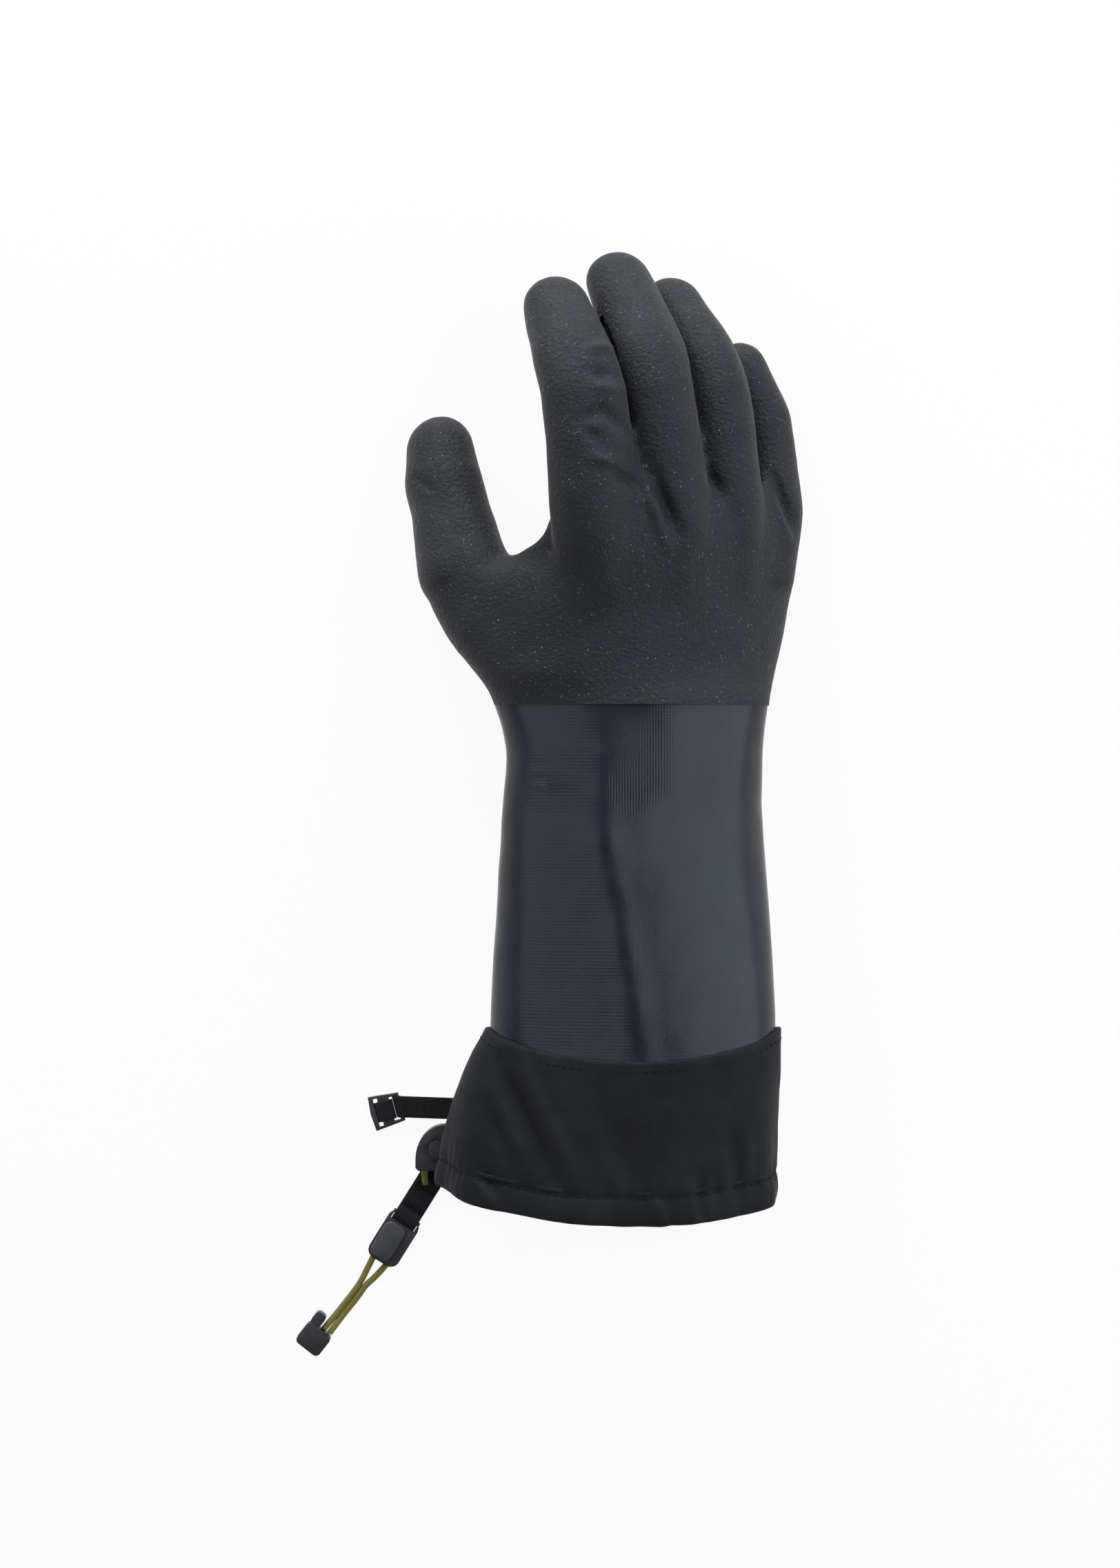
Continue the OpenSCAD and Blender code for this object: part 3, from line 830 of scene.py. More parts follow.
class Wardrobe:
    """One material for each slot, made when it is first asked for."""

    def __init__(self) -> None:
        """Lists the finishes by slot."""
        self.made: dict[str, bpy.types.Material] = {}
        self.finishes = {
            Slot.GRIP: GripCoat(),
            Slot.SMOOTH: SmoothCoat(),
            Slot.FLEECE: Fleece(),
            Slot.NYLON: WovenNylon(),
            Slot.THREAD: SewingThread(),
            Slot.WEBBING: RibbedWeb("webbing", 0),
            Slot.PLASTIC: Moulding("black_moulding", (0.0185, 0.018, 0.021), (0.03, 0.029, 0.034)),
            Slot.PANEL: Moulding("grey_panel", (0.04, 0.04, 0.045), (0.053, 0.053, 0.059),
                                 (0.3, 0.45)),
            Slot.CORD: OliveBraid(),
            Slot.STEEL: SpringSteel(),
        }

    def get(self, slot: Slot) -> bpy.types.Material:
        """Material of a slot.

        Args:
            slot: Slot of the record.

        Returns:
            Its material, made at the first call.
        """
        if slot not in self.made:
            self.made[slot] = self.finishes[slot].build()
        return self.made[slot]


WARDROBE = Wardrobe()


def dress(piece: bpy.types.Object, slot: Slot, *nodes: str,
          material: bpy.types.Material | None = None) -> bpy.types.Object:
    """Gives a piece its finish and hides the CAD nodes that it stands for.

    Args:
        piece: The finished piece.
        slot: Slot of its finish.
        nodes: CAD nodes that it replaces.
        material: Material to use in place of the slot's own.

    Returns:
        The piece.
    """
    piece.data.materials.clear()
    piece.data.materials.append(material or WARDROBE.get(slot))
    if nodes:
        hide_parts(*nodes)
    LOG.info("%s: %d faces, %s", piece.name, len(piece.data.polygons), slot.value)
    return piece


@dataclass(frozen=True)
class Digit:
    """One finger or the thumb: base, knuckle, middle joint, end joint and tip."""

    name: str
    stations: tuple[tuple[float, ...], ...]
    lean: float
    half_band: float = 8.0
    cut_depth: float = 3.0
    cut_reach: float = 26.0

    @property
    def along(self) -> np.ndarray:
        """Direction of the straight stretch through the middle joint.

        Returns:
            The direction, of length 1.
        """
        s = np.array(self.stations)
        d = s[3, :3] - s[1, :3]
        return d / np.linalg.norm(d)

    def at_joint(self, s: float) -> np.ndarray:
        """Station s millimetres past the middle joint.

        Args:
            s: Millimetres towards the tip.

        Returns:
            The station.
        """
        row = np.array(self.stations[2], float)
        row[:3] += s * self.along
        return row

    def frame_of(self, row: np.ndarray, along: np.ndarray, grow: float) -> Matrix:
        """Ring frame at a station, its half-sizes grown by some millimetres."""
        return ring_frame(row[:3], along, self.lean, row[3] + grow, row[4] + grow)

    def root(self, end: float, grow: float) -> list[Matrix]:
        """Rings from the base to s = end beside the middle joint.

        Args:
            end: Millimetres past the middle joint.
            grow: Millimetres that the half-sizes grow by.

        Returns:
            Frames of the rings.
        """
        path = course([self.stations[0], self.stations[1], self.at_joint(-self.half_band)], 8)
        rings = [self.frame_of(p, v, grow) for p, v in path[:-1]]
        rings.append(self.frame_of(path[-1][0], self.along, grow))
        if end > -self.half_band:
            rings.append(self.frame_of(self.at_joint(end), self.along, grow))
        return rings

    def whole(self, grow: float) -> list[Matrix]:
        """Rings from the base to the round end.

        Args:
            grow: Millimetres that the half-sizes grow by.

        Returns:
            Frames of the rings.
        """
        rings = self.root(self.half_band, grow)
        path = course([self.at_joint(self.half_band), *self.stations[3:]], 6)
        rings += [self.frame_of(p, v, grow) for p, v in path[1:]]
        tip, v = path[-1]
        t = v[:3] / np.linalg.norm(v[:3])
        reach = (tip[3] + tip[4]) / 2
        for angle in TIP_ANGLES:
            a = math.radians(angle)
            centre = tip[:3] + (reach + grow) * math.sin(a) * t
            rings.append(ring_frame(centre, t, self.lean, (tip[3] + grow) * math.cos(a),
                                    (tip[4] + grow) * math.cos(a)))
        return rings

    def reach(self, points: np.ndarray) -> np.ndarray:
        """Distance of points from the digit's line, in its own half-widths.

        Args:
            points: Places, in millimetres.

        Returns:
            One distance a point.
        """
        line = np.array([p[:3] for p, _ in course(self.stations, 6)])
        far = np.linalg.norm(points[:, None, :] - line[None, :, :], axis=2).min(axis=1)
        return far / np.mean([r[3] for r in self.stations])

    def past(self, points: np.ndarray) -> np.ndarray:
        """Millimetres of points past the near face of the knuckle band."""
        return (points - self.at_joint(-self.half_band)[:3]) @ self.along

    def beside(self, points: np.ndarray) -> np.ndarray:
        """Whether points are close to the near face of the knuckle band."""
        far = np.linalg.norm(points - self.at_joint(-self.half_band)[:3], axis=1)
        return (np.abs(self.past(points)) < self.cut_depth) & (far < self.cut_reach)

    def beyond(self, points: np.ndarray) -> np.ndarray:
        """Whether points are past the near face of the knuckle band."""
        return self.past(points) > 0


DIGITS = (
    Digit("index", ((-8, 42, 37, 15, 13), (-15.2, 80, 58, 16.6, 13),
                    (-18.5, 120, 65.5, 16.4, 12.5), (-22.9, 141, 61, 15.8, 12.2),
                    (-29.2, 161.4, 47.5, 12.4, 11)), 30),
    Digit("middle", ((17, 50, 34, 14, 13.5), (15, 80, 44.5, 14.1, 12.8),
                     (9, 125, 52, 13.8, 12), (3.9, 147, 48, 14.5, 11.6),
                     (-5.8, 173.3, 32.5, 12.3, 10.8)), 30),
    Digit("ring", ((36, 54, 24, 13, 13), (36.6, 82, 30, 12.8, 12.2),
                   (32.4, 124, 34, 12.3, 11.4), (26.4, 146, 30, 11.9, 10.8),
                   (14.5, 166.5, 19, 11.4, 10.3)), 30),
    Digit("little", ((49, 60, 16, 12, 12), (53.6, 87, 13.4, 11.2, 10.8),
                     (51.4, 115.5, 11, 10.4, 9.8), (48, 130, 10.8, 9.9, 9.4),
                     (41.3, 143.7, 10.6, 10.1, 9.4)), 30),
    Digit("thumb", ((-30, 28, 30, 16, 15), (-60, 58, 28.5, 18, 15.5),
                    (-71, 92, 18.5, 15.5, 13.4), (-73.5, 105, 14.8, 14.2, 12.8),
                    (-74.3, 112, 12.9, 13.4, 11.8)), -40),
)


@dataclass
class DippedHand:
    """The grip-coated hand: a palm with five finger roots, and five fingers."""

    palm: tuple[Station, ...] = (
        (-30, -0.3, 29, 12, 50.6, 24.5), (-4, 0.4, 29.4, 6.5, 49.1, 23.5),
        (14, -1.0, 29.5, 5, 52.4, 22.5), (24, -0.8, 28.8, 13, 55.3, 22.2),
        (38, 8, 27.5, 21, 51.5, 21.5), (52, 12, 28.3, 25, 51.5, 20.5),
        (72, 17.5, 34, 31, 52, 17.5), (88, 19, 36.5, 33, 50, 14), (98, 19, 37.5, 33, 44, 9))
    web: tuple[tuple[float, float, float, float], ...] = (
        (-58.3, 48, 30, 15), (-63, 55.5, 28.7, 14.4), (-21, 55, 46, 13), (-30, 60, 46, 9),
        (-46.6, 33, 34, 15), (-45, 25.5, 36, 12), (-40, 17, 38, 9))
    fillets: tuple[tuple[tuple[float, float, float, float], ...], ...] = (
        ((-45, 63.8, 38, 4.6), (-39.6, 67, 43, 4.6)),
        ((-39.6, 67, 43, 4.6), (-34.4, 70, 46.5, 4.6)),
        ((-34.4, 70, 46.5, 4.6), (-30, 74.4, 50, 4.6)),
        ((-30, 74.4, 50, 4.6), (-27.6, 81, 53, 4.4)),
        ((-54, 58, 29, 10), (-53.5, 65.6, 28.5, 7.8), (-57.5, 72, 26, 6)),
        ((-3, 84, 40, 8), (-1, 106, 41, 5)),
        ((-66, 64, 27, 15.8), (-69.8, 77, 22.8, 13.7), (-70.8, 86, 20, 13.7)),
    )
    grow: float = 0.45
    palm_sides: int = 64
    digit_sides: int = 40
    voxel: float = 1.05
    wall: float = 3.9
    coat_edge: float = 13.4
    edge_fade: float = 14.0
    table_gap: float = 0.35
    root_spare: tuple[float, float] = (15.0, -1.0)
    sharp_angle: float = 55.0
    smoothing: int = 34
    creases: tuple[Crease, ...] = (
        Crease((-16.5, 134.5), (-8.5, 132.5), 2.6, 2.6, 0.0, 40),
        Crease((-18, 142.8), (-9, 144.5), -1.5, 1.9, 0.0, 40),
        Crease((-15.5, 128.6), (-7, 127.6), -1.4, 1.9, 0.0, 40),
        Crease((-19.5, 116.6), (-10.8, 120.6), 2.5, 2.4, 0.0, 40),
        Crease((-12.4, 120.8), (-3.5, 112.5), 2.8, 2.4, 0.0, 40),
        Crease((-19, 113), (-13, 108.5), 1.5, 2.4, 0.0, 40),
        Crease((-17, 102.6), (-6, 100.6), -1.8, 2.0, 0.0, 40),
        Crease((-8, 97.6), (1.5, 92.5), 2.8, 2.4, 0.0, 30),
        Crease((6.6, 97), (15, 76.5), 3.4, 2.6, 2.4, 25),
        Crease((27.5, 101), (31.5, 92), 2.0, 2.2, 0.8, 15),
        Crease((53.5, 101), (61.8, 79.5), 2.6, 2.1, 1.2, 6),
        Crease((-85, 102), (-77, 94.8), 1.5, 1.7, 0.3, 8),
        Crease((12, 22), (4, -22), -1.4, 11.0, 0.0, 30),
        Crease((-68, 82), (-60, 74), 0.6, 3.2, 0.3, 12),
    )
    soft_spots: tuple[tuple[float, float, float], ...] = (
        (-43, 27, 24), (-33, 56, 15), (-12, 52, 20), (14, 62, 18), (36, 62, 16),
        (1, 99, 9))
    soft_rounds: int = 70
    swells: tuple[tuple[float, float, float], ...] = ((34, 0.55, 1.7), (13, 0.3, 4.1))

    def blank(self, name: str, full: Sequence[str], spare: float) -> bpy.types.Object:
        """One smooth skin of the palm, the named digits and the roots of the rest.

        Args:
            name: Name of the blank.
            full: Digits that are built to their tips.
            spare: How far the other roots run past their knuckle bands' near faces.

        Returns:
            The blank, with its folds.
        """
        bm = bmesh.new()
        rings = [arm_ring(row, self.grow) for row, _ in course(self.palm, 5)]
        add_loft(bm, rings, self.palm_sides, True)
        for digit in DIGITS:
            whole = digit.name in full
            own = digit.whole(self.grow) if whole else digit.root(
                spare - digit.half_band, self.grow)
            add_loft(bm, own, self.digit_sides, True)
        for balls in (self.web, *self.fillets):
            self.add_hull(bm, balls)
        piece = new_piece(name, bm)
        remesh = piece.modifiers.new("skin", "REMESH")
        remesh.mode = "VOXEL"
        remesh.voxel_size = self.voxel * MM
        smooth = piece.modifiers.new("dip", "SMOOTH")
        smooth.iterations = self.smoothing
        smooth.factor = 0.5
        bake_modifiers(piece)
        self.soften(piece)
        self.fold(piece)
        return piece

    def soften(self, piece: bpy.types.Object) -> None:
        """Smooths the back of the hand where the parts of a blank meet.

        Args:
            piece: The blank.
        """
        bm = bmesh.new()
        bm.from_mesh(piece.data)
        for x, y, radius in self.soft_spots:
            spot = place(x, y, 0)
            near = [v for v in bm.verts if (v.co - spot).xy.length < radius * MM
                    and v.normal.z > -0.2]
            for _ in range(self.soft_rounds):
                bmesh.ops.smooth_vert(bm, verts=near, factor=0.5, use_axis_x=True,
                                      use_axis_y=True, use_axis_z=True)
        bm.to_mesh(piece.data)
        bm.free()

    def add_hull(self, bm: bmesh.types.BMesh, balls: Sequence[Station]) -> None:
        """Adds the hull of some balls to a mesh.

        Args:
            bm: Mesh that takes the hull.
            balls: Places and radii, in millimetres.
        """
        hull = bmesh.new()
        for x, y, z, r in balls:
            bmesh.ops.create_icosphere(hull, subdivisions=3, radius=(r + self.grow) * MM,
                                       matrix=Matrix.Translation(place(x, y, z)))
        made = bmesh.ops.convex_hull(hull, input=hull.verts[:])
        inner = [g for g in made["geom_interior"] if isinstance(g, bmesh.types.BMVert)]
        bmesh.ops.delete(hull, geom=inner, context="VERTS")
        mesh = bpy.data.meshes.new("hull")
        hull.to_mesh(mesh)
        hull.free()
        bm.from_mesh(mesh)
        bpy.data.meshes.remove(mesh)

    def fold(self, piece: bpy.types.Object) -> None:
        """Gives a blank its swells and creases, and rests it on the table.

        Args:
            piece: The blank.
        """
        points, normals = mesh_points(piece.data)
        out = sum(c.offset(points, normals) for c in self.creases)
        away = np.clip(np.abs(points[:, 1] - self.coat_edge) / self.edge_fade, 0, 1)
        for size, height, seed in self.swells:
            out = out + height * away * wander(points, size, seed)
        points = points + normals * out[:, None]
        points[:, 2] = np.maximum(points[:, 2], self.table_gap)
        set_points(piece.data, points)

    def owners(self, points: np.ndarray) -> np.ndarray:
        """Number of the digit that each point is nearest to."""
        return np.argmin([d.reach(points) for d in DIGITS], axis=0)

    def belonging(self, faces: Sequence[bmesh.types.BMFace], digit: Digit,
                  pick: Callable[[np.ndarray], np.ndarray]) -> np.ndarray:
        """Which faces belong to a digit, out of those that a test picks.

        Args:
            faces: Faces of a blank.
            digit: The digit.
            pick: Test of the middles of the faces, in millimetres.

        Returns:
            One truth value a face.
        """
        middles = np.array([f.calc_center_median() for f in faces]) / MM - np.array(SHIFT)
        picked = pick(middles)
        mine = np.zeros(len(faces), bool)
        mine[picked] = self.owners(middles[picked]) == DIGITS.index(digit)
        return mine

    def split(self, piece: bpy.types.Object, digit: Digit, keep_tip: bool) -> None:
        """Cuts a blank at a digit's knuckle band.

        Args:
            piece: The blank.
            digit: The digit that is cut.
            keep_tip: Whether the digit's end stays, and the rest goes, or the other way.
        """
        bm = bmesh.new()
        bm.from_mesh(piece.data)
        near = place(*digit.at_joint(-digit.half_band)[:3])
        faces = list(bm.faces)
        mine = self.belonging(faces, digit, digit.beside)
        cut = [f for f, m in zip(faces, mine) if m]
        geom = cut + list({e for f in cut for e in f.edges}) + list({v for f in cut for v in f.verts})
        bmesh.ops.bisect_plane(bm, geom=geom, dist=1e-6, plane_co=near, plane_no=Vector(digit.along))
        faces = list(bm.faces)
        mine = self.belonging(faces, digit, digit.beyond)
        gone = [f for f, m in zip(faces, mine) if m != keep_tip]
        bmesh.ops.delete(bm, geom=gone, context="FACES")
        bm.to_mesh(piece.data)
        bm.free()

    def finish(self, piece: bpy.types.Object) -> None:
        """Gives a cut skin its wall, with fleece inside.

        Args:
            piece: The cut skin.
        """
        piece.data.shade_smooth()
        piece.data.materials.clear()
        piece.data.materials.append(WARDROBE.get(Slot.GRIP))
        piece.data.materials.append(WARDROBE.get(Slot.FLEECE))
        wall = add_wall(piece, self.wall)
        wall.material_offset = 1
        wall.material_offset_rim = 0
        bake_modifiers(piece)
        piece.data.set_sharp_from_angle(angle=math.radians(self.sharp_angle))
        LOG.info("%s: %d faces", piece.name, len(piece.data.polygons))

    def build(self) -> None:
        """Builds the palm and the five fingers."""
        palm = self.blank("dipped_palm", (), self.root_spare[0])
        for digit in DIGITS:
            self.split(palm, digit, False)
        bm = bmesh.new()
        bm.from_mesh(palm.data)
        bmesh.ops.bisect_plane(bm, geom=[*bm.verts, *bm.edges, *bm.faces], dist=1e-6,
                               plane_co=place(0, self.coat_edge, 0), plane_no=(0, -1, 0),
                               clear_outer=True)
        bm.to_mesh(palm.data)
        bm.free()
        self.finish(palm)
        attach(palm, Body.GLOVE.value)
        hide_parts("hand_shell", "hand_lining")
        for names in (("index", "ring"), ("middle", "little", "thumb")):
            blank = self.blank("finger_blank", names, self.root_spare[1])
            for digit in (d for d in DIGITS if d.name in names):
                self.finger(blank, digit)
            bpy.data.objects.remove(blank)

    def finger(self, blank: bpy.types.Object, digit: Digit) -> None:
        """Cuts one finger from a blank.

        Args:
            blank: Mesh that holds the whole finger.
            digit: The digit that is kept.
        """
        piece = blank.copy()
        piece.data = blank.data.copy()
        piece.name = piece.data.name = f"dipped_{digit.name}"
        bpy.context.scene.collection.objects.link(piece)
        self.split(piece, digit, True)
        self.finish(piece)
        n = digit.name
        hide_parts(f"{n}_knuckle", f"{n}_knuckle_lining", f"{n}_tip", f"{n}_tip_lining")
        place(*digit.at_joint(-digit.half_band)[:3])
        place(*digit.at_joint(digit.half_band)[:3])
        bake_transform(piece)


@dataclass
class Gauntlet:
    """The smooth coated sleeve and its fleece lining."""

    stations: tuple[Station, ...] = (
        (-124, -0.5, 28.2, 0, 54.4, 25.6), (-108, -0.5, 28.2, 0.5, 54.4, 25.6),
        (-60, -0.4, 28.6, 7, 52.2, 25.5), (-30, -0.3, 29, 12, 50.6, 24.5),
        (-4, 0.4, 29.4, 6.5, 49.2, 23.5), (14, -1.0, 29.5, 5, 52.3, 22.4),
        (17, -1.0, 29.4, 6, 53.0, 22.4))
    sides: int = 168
    steps: int = 14
    middle_height: float = 28.0
    skin: float = 1.15
    skin_depth: float = 0.15
    fleece: float = 2.4
    fleece_depth: float = 2.2
    edge_fade: float = 14.0
    swells: tuple[Station, ...] = ((30, 0.45, 2.3), (9, 0.16, 5.9))
    pile_swells: tuple[Station, ...] = ((30, 0.45, 2.3), (3.4, 0.25, 8.2))
    creases: tuple[Crease, ...] = (
        Crease((12, 22), (4, -22), -1.4, 11.0, 0.0, 30),
        Crease((-12.5, -2), (-12, -52), -1.0, 7.0, 0.0, 30),
        Crease((-11.5, -38), (-3, -92), -1.0, 7.0, 0.0, 30),
        Crease((-4.5, -74), (3.5, -134), -1.0, 7.0, 0.0, 30),
        Crease((-42, -13), (-29, -13.5), 0.45, 3.2, 0.2, 20),
    )

    def tube(self, name: str, depth: float) -> bpy.types.Object:
        """Open sleeve below the coat's surface.

        Args:
            name: Name of the piece.
            depth: Millimetres below the surface.

        Returns:
            The piece, its faces turned outwards.
        """
        bm = bmesh.new()
        rings = [arm_ring(row, -depth) for row, _ in course(self.stations, self.steps)]
        add_loft(bm, rings, self.sides, False)
        piece = new_piece(name, bm)
        points, normals = mesh_points(piece.data)
        middle = np.column_stack([np.zeros(len(points)), points[:, 1],
                                  np.full(len(points), self.middle_height)])
        if float(((points - middle) * normals).sum()) < 0:
            piece.data.flip_normals()
        return piece

    def build(self) -> None:
        """Builds the sleeve and the lining."""
        sleeve = self.tube("gauntlet_sleeve_coat", self.skin_depth)
        points, normals = mesh_points(sleeve.data)
        out = sum(c.offset(points, normals) for c in self.creases)
        away = np.clip((self.stations[-2][0] - points[:, 1]) / self.edge_fade, 0, 1)
        out = out + away * swelling(points, self.swells)
        set_points(sleeve.data, points + normals * out[:, None])
        dress(sleeve, Slot.SMOOTH, "gauntlet_sleeve")
        add_wall(sleeve, self.skin)
        bake_modifiers(sleeve)
        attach(sleeve, Body.GLOVE.value)
        lining = self.tube("gauntlet_fleece", self.fleece_depth)
        points, normals = mesh_points(lining.data)
        out = swelling(points, self.pile_swells)
        set_points(lining.data, points + normals * out[:, None])
        dress(lining, Slot.FLEECE, "gauntlet_lining")
        add_wall(lining, self.fleece)
        bake_modifiers(lining)
        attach(lining, Body.GLOVE.value)


@dataclass
class Cuff:
    """The woven nylon cuff with its corded, turned-in hem."""

    top: tuple[float, ...] = (-108.6, 11, -0.2, 28, 56, 27)
    hem: tuple[float, ...] = (-171.5, 9, -10, 27, 64.4, 29.5)
    bow: tuple[float, ...] = (0, 0, -9, 0, 8.2, 0)
    tilt: float = 2.8
    fold_count: int = 9
    fold_height: float = 1.3
    fold_twist: float = 160.0
    hem_share: float = 0.17
    cord_share: float = 0.93
    cord_bulge: tuple[float, float] = (0.55, 0.06)
    seam_groove: tuple[float, float] = (0.5, 0.018)
    pucker: tuple[float, float] = (0.28, 0.09)
    facing: float = 4.2
    tuck: float = 3.4
    cloth: float = 0.6
    table_gap: float = 0.05
    sides: int = 288
    middle: tuple[float, float] = (-5.0, 28.0)
    outer_rings: int = 40
    swells: tuple[Station, ...] = ((22, 0.5, 7.7), (8, 0.22, 3.3))
    seam_share: float = 0.06
    stitch_pitch: float = 3.1
    stitch_half: float = 0.24
    stitch_lift: float = 0.12
    stitched: tuple[float, float] = (-44.0, 224.0)
    creases: tuple[Crease, ...] = (
        Crease((-31, -163), (-51, -121), 3.0, 4.0, 2.2, 25),
        Crease((-46, -160), (-56, -136), 1.4, 3.0, 0.9, 18),
        Crease((-58, -160), (-50, -172), 1.2, 2.4, 0.8, 15),
        Crease((11, -168), (14, -182), 0.9, 2.0, 0.6, 20),
        Crease((23, -162), (25.5, -180), 1.0, 2.4, 0.7, 20),
        Crease((37, -150), (40, -176), 1.2, 3.2, 0.9, 15),
        Crease((47, -146), (46, -174), 0.9, 3.0, 0.7, 10),
        Crease((-14, -132), (2, -168), 0.7, 5.0, 0.5, 25),
    )

    def point(self, angle: float, t: float, depth: float) -> np.ndarray:
        """Place on the cuff.

        Args:
            angle: Degrees round the cuff, from +X.
            t: Share of the way from the top edge to the hem.
            depth: Millimetres below the outer surface.

        Returns:
            The place, in millimetres from the wrist.
        """
        a = math.radians(angle)
        row = ((1 - t) * np.array(self.top) + t * np.array(self.hem)
               + t * (1 - t) * np.array(self.bow))
        twist = self.fold_count * angle + self.fold_twist * t
        fold = self.fold_height * t * math.cos(math.radians(twist))
        line = 1 - self.hem_share
        bulge, soft = self.cord_bulge
        groove, sharp = self.seam_groove
        hem = (bulge * math.exp(-((t - self.cord_share) / soft) ** 2)
               - groove * math.exp(-((t - line) / sharp) ** 2))
        height, reach = self.pucker
        waves = math.sin(47 * a + 6 * math.sin(5 * a))
        pucker = height * math.exp(-abs(t - line) / reach) * waves
        grow = fold + hem + pucker - depth
        dip = abs(math.sin(a)) ** 1.5
        return np.array((row[2] + (row[4] + grow) * math.cos(a),
                         row[0] - row[1] * dip - t * self.tilt * math.cos(a),
                         max(max(depth, 0) + self.table_gap,
                             row[3] + (row[5] + grow) * math.sin(a))))

    def profile(self) -> list[tuple[float, float]]:
        """Section of the cuff from the tuck at the top edge, round the hem and up the facing.

        Returns:
            Shares of the way to the hem, and depths below the surface in millimetres.
        """
        tuck = [(0.052, 1.0), (0.047, self.tuck - 0.4), (0.032, self.tuck), (0.006, self.tuck),
                (0.0, self.tuck - 0.6), (0.0, 0.5)]
        outer = [(t, 0.0) for t in np.linspace(0.006, 0.985, 58)]
        turn = [(0.995, 0.25), (1.0, 0.9), (1.0, self.facing - 0.9), (0.995, self.facing - 0.25)]
        inner = [(t, self.facing) for t in np.linspace(0.985, 1.04 - self.hem_share, 9)]
        close = [(1.0 - self.hem_share, self.facing / 2), (0.985 - self.hem_share, 1.0),
                 (0.96 - self.hem_share, 0.85)]
        return tuck + outer + turn + inner + close

    def build(self) -> None:
        """Builds the cuff, its seams and its stitches."""
        bm = bmesh.new()
        profile = self.profile()
        loops = add_loft(bm, [Matrix.Translation((0, -0.001 * i, 0)) for i in range(len(profile))],
                         self.sides, False)
        for ring, (t, depth) in zip(loops, profile):
            for k, vert in enumerate(ring):
                vert.co = place(*self.point(360 * k / self.sides, t, depth))
        cuff = new_piece("woven_cuff", bm, False)
        points, normals = mesh_points(cuff.data)
        x, z = self.middle
        middle = np.column_stack([np.full(len(points), x), points[:, 1], np.full(len(points), z)])
        if float(((points - middle) * normals)[: self.sides * self.outer_rings].sum()) < 0:
            cuff.data.flip_normals()
            normals = -normals
        out = sum(c.offset(points, normals) for c in self.creases)
        for size, height, seed in self.swells:
            out = out + height * wander(points, size, seed)
        points = points + normals * out[:, None]
        points[:, 2] = np.maximum(points[:, 2], self.table_gap)
        set_points(cuff.data, points)
        dress(cuff, Slot.NYLON, "nylon_cuff", "hem_facing")
        add_wall(cuff, self.cloth)
        bake_modifiers(cuff)
        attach(cuff, Body.GLOVE.value)
        self.stitch("cuff_seam_stitches", self.seam_share, "cuff_seam_stitching")
        self.stitch("hem_stitches", 1 - self.hem_share, "hem_stitching")

    def stitch(self, name: str, t: float, node: str) -> None:
        """Row of stitches round the cuff.

        Args:
            name: Name of the piece.
            t: Share of the way from top edge to hem.
            node: CAD node that it replaces.
        """
        bm = bmesh.new()
        angle, last = self.stitched
        while angle < last:
            here = Vector(self.point(angle, t, -self.stitch_lift))
            ahead = Vector(self.point(angle + 0.5, t, -self.stitch_lift))
            step = 0.5 * self.stitch_pitch / (ahead - here).length
            there = Vector(self.point(angle + 0.7 * step, t, -self.stitch_lift))
            run = there - here
            turn = run.to_track_quat("X", "Z").to_matrix().to_4x4()
            half = (run.length * 0.5, self.stitch_half, self.stitch_half)
            add_stitch(bm, place(*((here + there) / 2)), turn, half)
            angle += step
        row = dress(new_piece(name, bm), Slot.THREAD, node)
        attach(row, Body.GLOVE.value)


@dataclass
class Ribbon:
    """Flat webbing along a path."""

    name: str
    path: list[Vector]
    width: float
    side: Vector
    thickness: float = 0.8
    cells: int = 6
    selvedge: float = 0.25

    def build(self) -> bpy.types.Object:
        """Makes the ribbon, with rounded selvedges.

        Returns:
            The piece.
        """
        bm = bmesh.new()
        made = bmesh.ops.create_grid(bm, x_segments=self.cells, y_segments=len(self.path) - 1, size=1)
        for k, vert in enumerate(made["verts"]):
            row, i = divmod(k, self.cells + 1)
            share = (i / self.cells - 0.5) * self.width * MM
            vert.co = self.path[row] + self.side * share
        piece = new_piece(self.name, bm)
        add_wall(piece, self.thickness, 0.0)
        edge = piece.modifiers.new("selvedge", "BEVEL")
        edge.width = self.selvedge * MM
        edge.segments = 2
        edge.limit_method = "ANGLE"
        bake_modifiers(piece)
        piece.data.shade_smooth()
        return piece


def loop_path(bar: Vector, along: Vector, length: float, radius: float,
              half_gap: float, tall: float = 1.0) -> list[Vector]:
    """Path of webbing that runs to a bar, round it and back.

    Args:
        bar: Middle of the bar, in metres.
        along: Direction from the bar down the webbing.
        length: Length of each leg, in millimetres.
        radius: Radius of the turn, in millimetres.
        half_gap: Half the distance between the legs, in millimetres.
        tall: Height of the turn as a share of its length.

    Returns:
        Points in metres.
    """
    up = Vector((0, 0, 1))
    start = math.asin(half_gap / (radius * tall))
    points = []
    for i in range(16):
        x = length + (radius * math.cos(start) - length) * i / 15
        points.append((x, half_gap))
    for i in range(1, 20):
        a = start + (2 * math.pi - 2 * start) * i / 20
        points.append((radius * math.cos(a), radius * tall * math.sin(a)))
    for i in range(16):
        x = radius * math.cos(start) + (length - radius * math.cos(start)) * i / 15
        points.append((x, -half_gap))
    return [bar + (along * x + up * z) * MM for x, z in points]


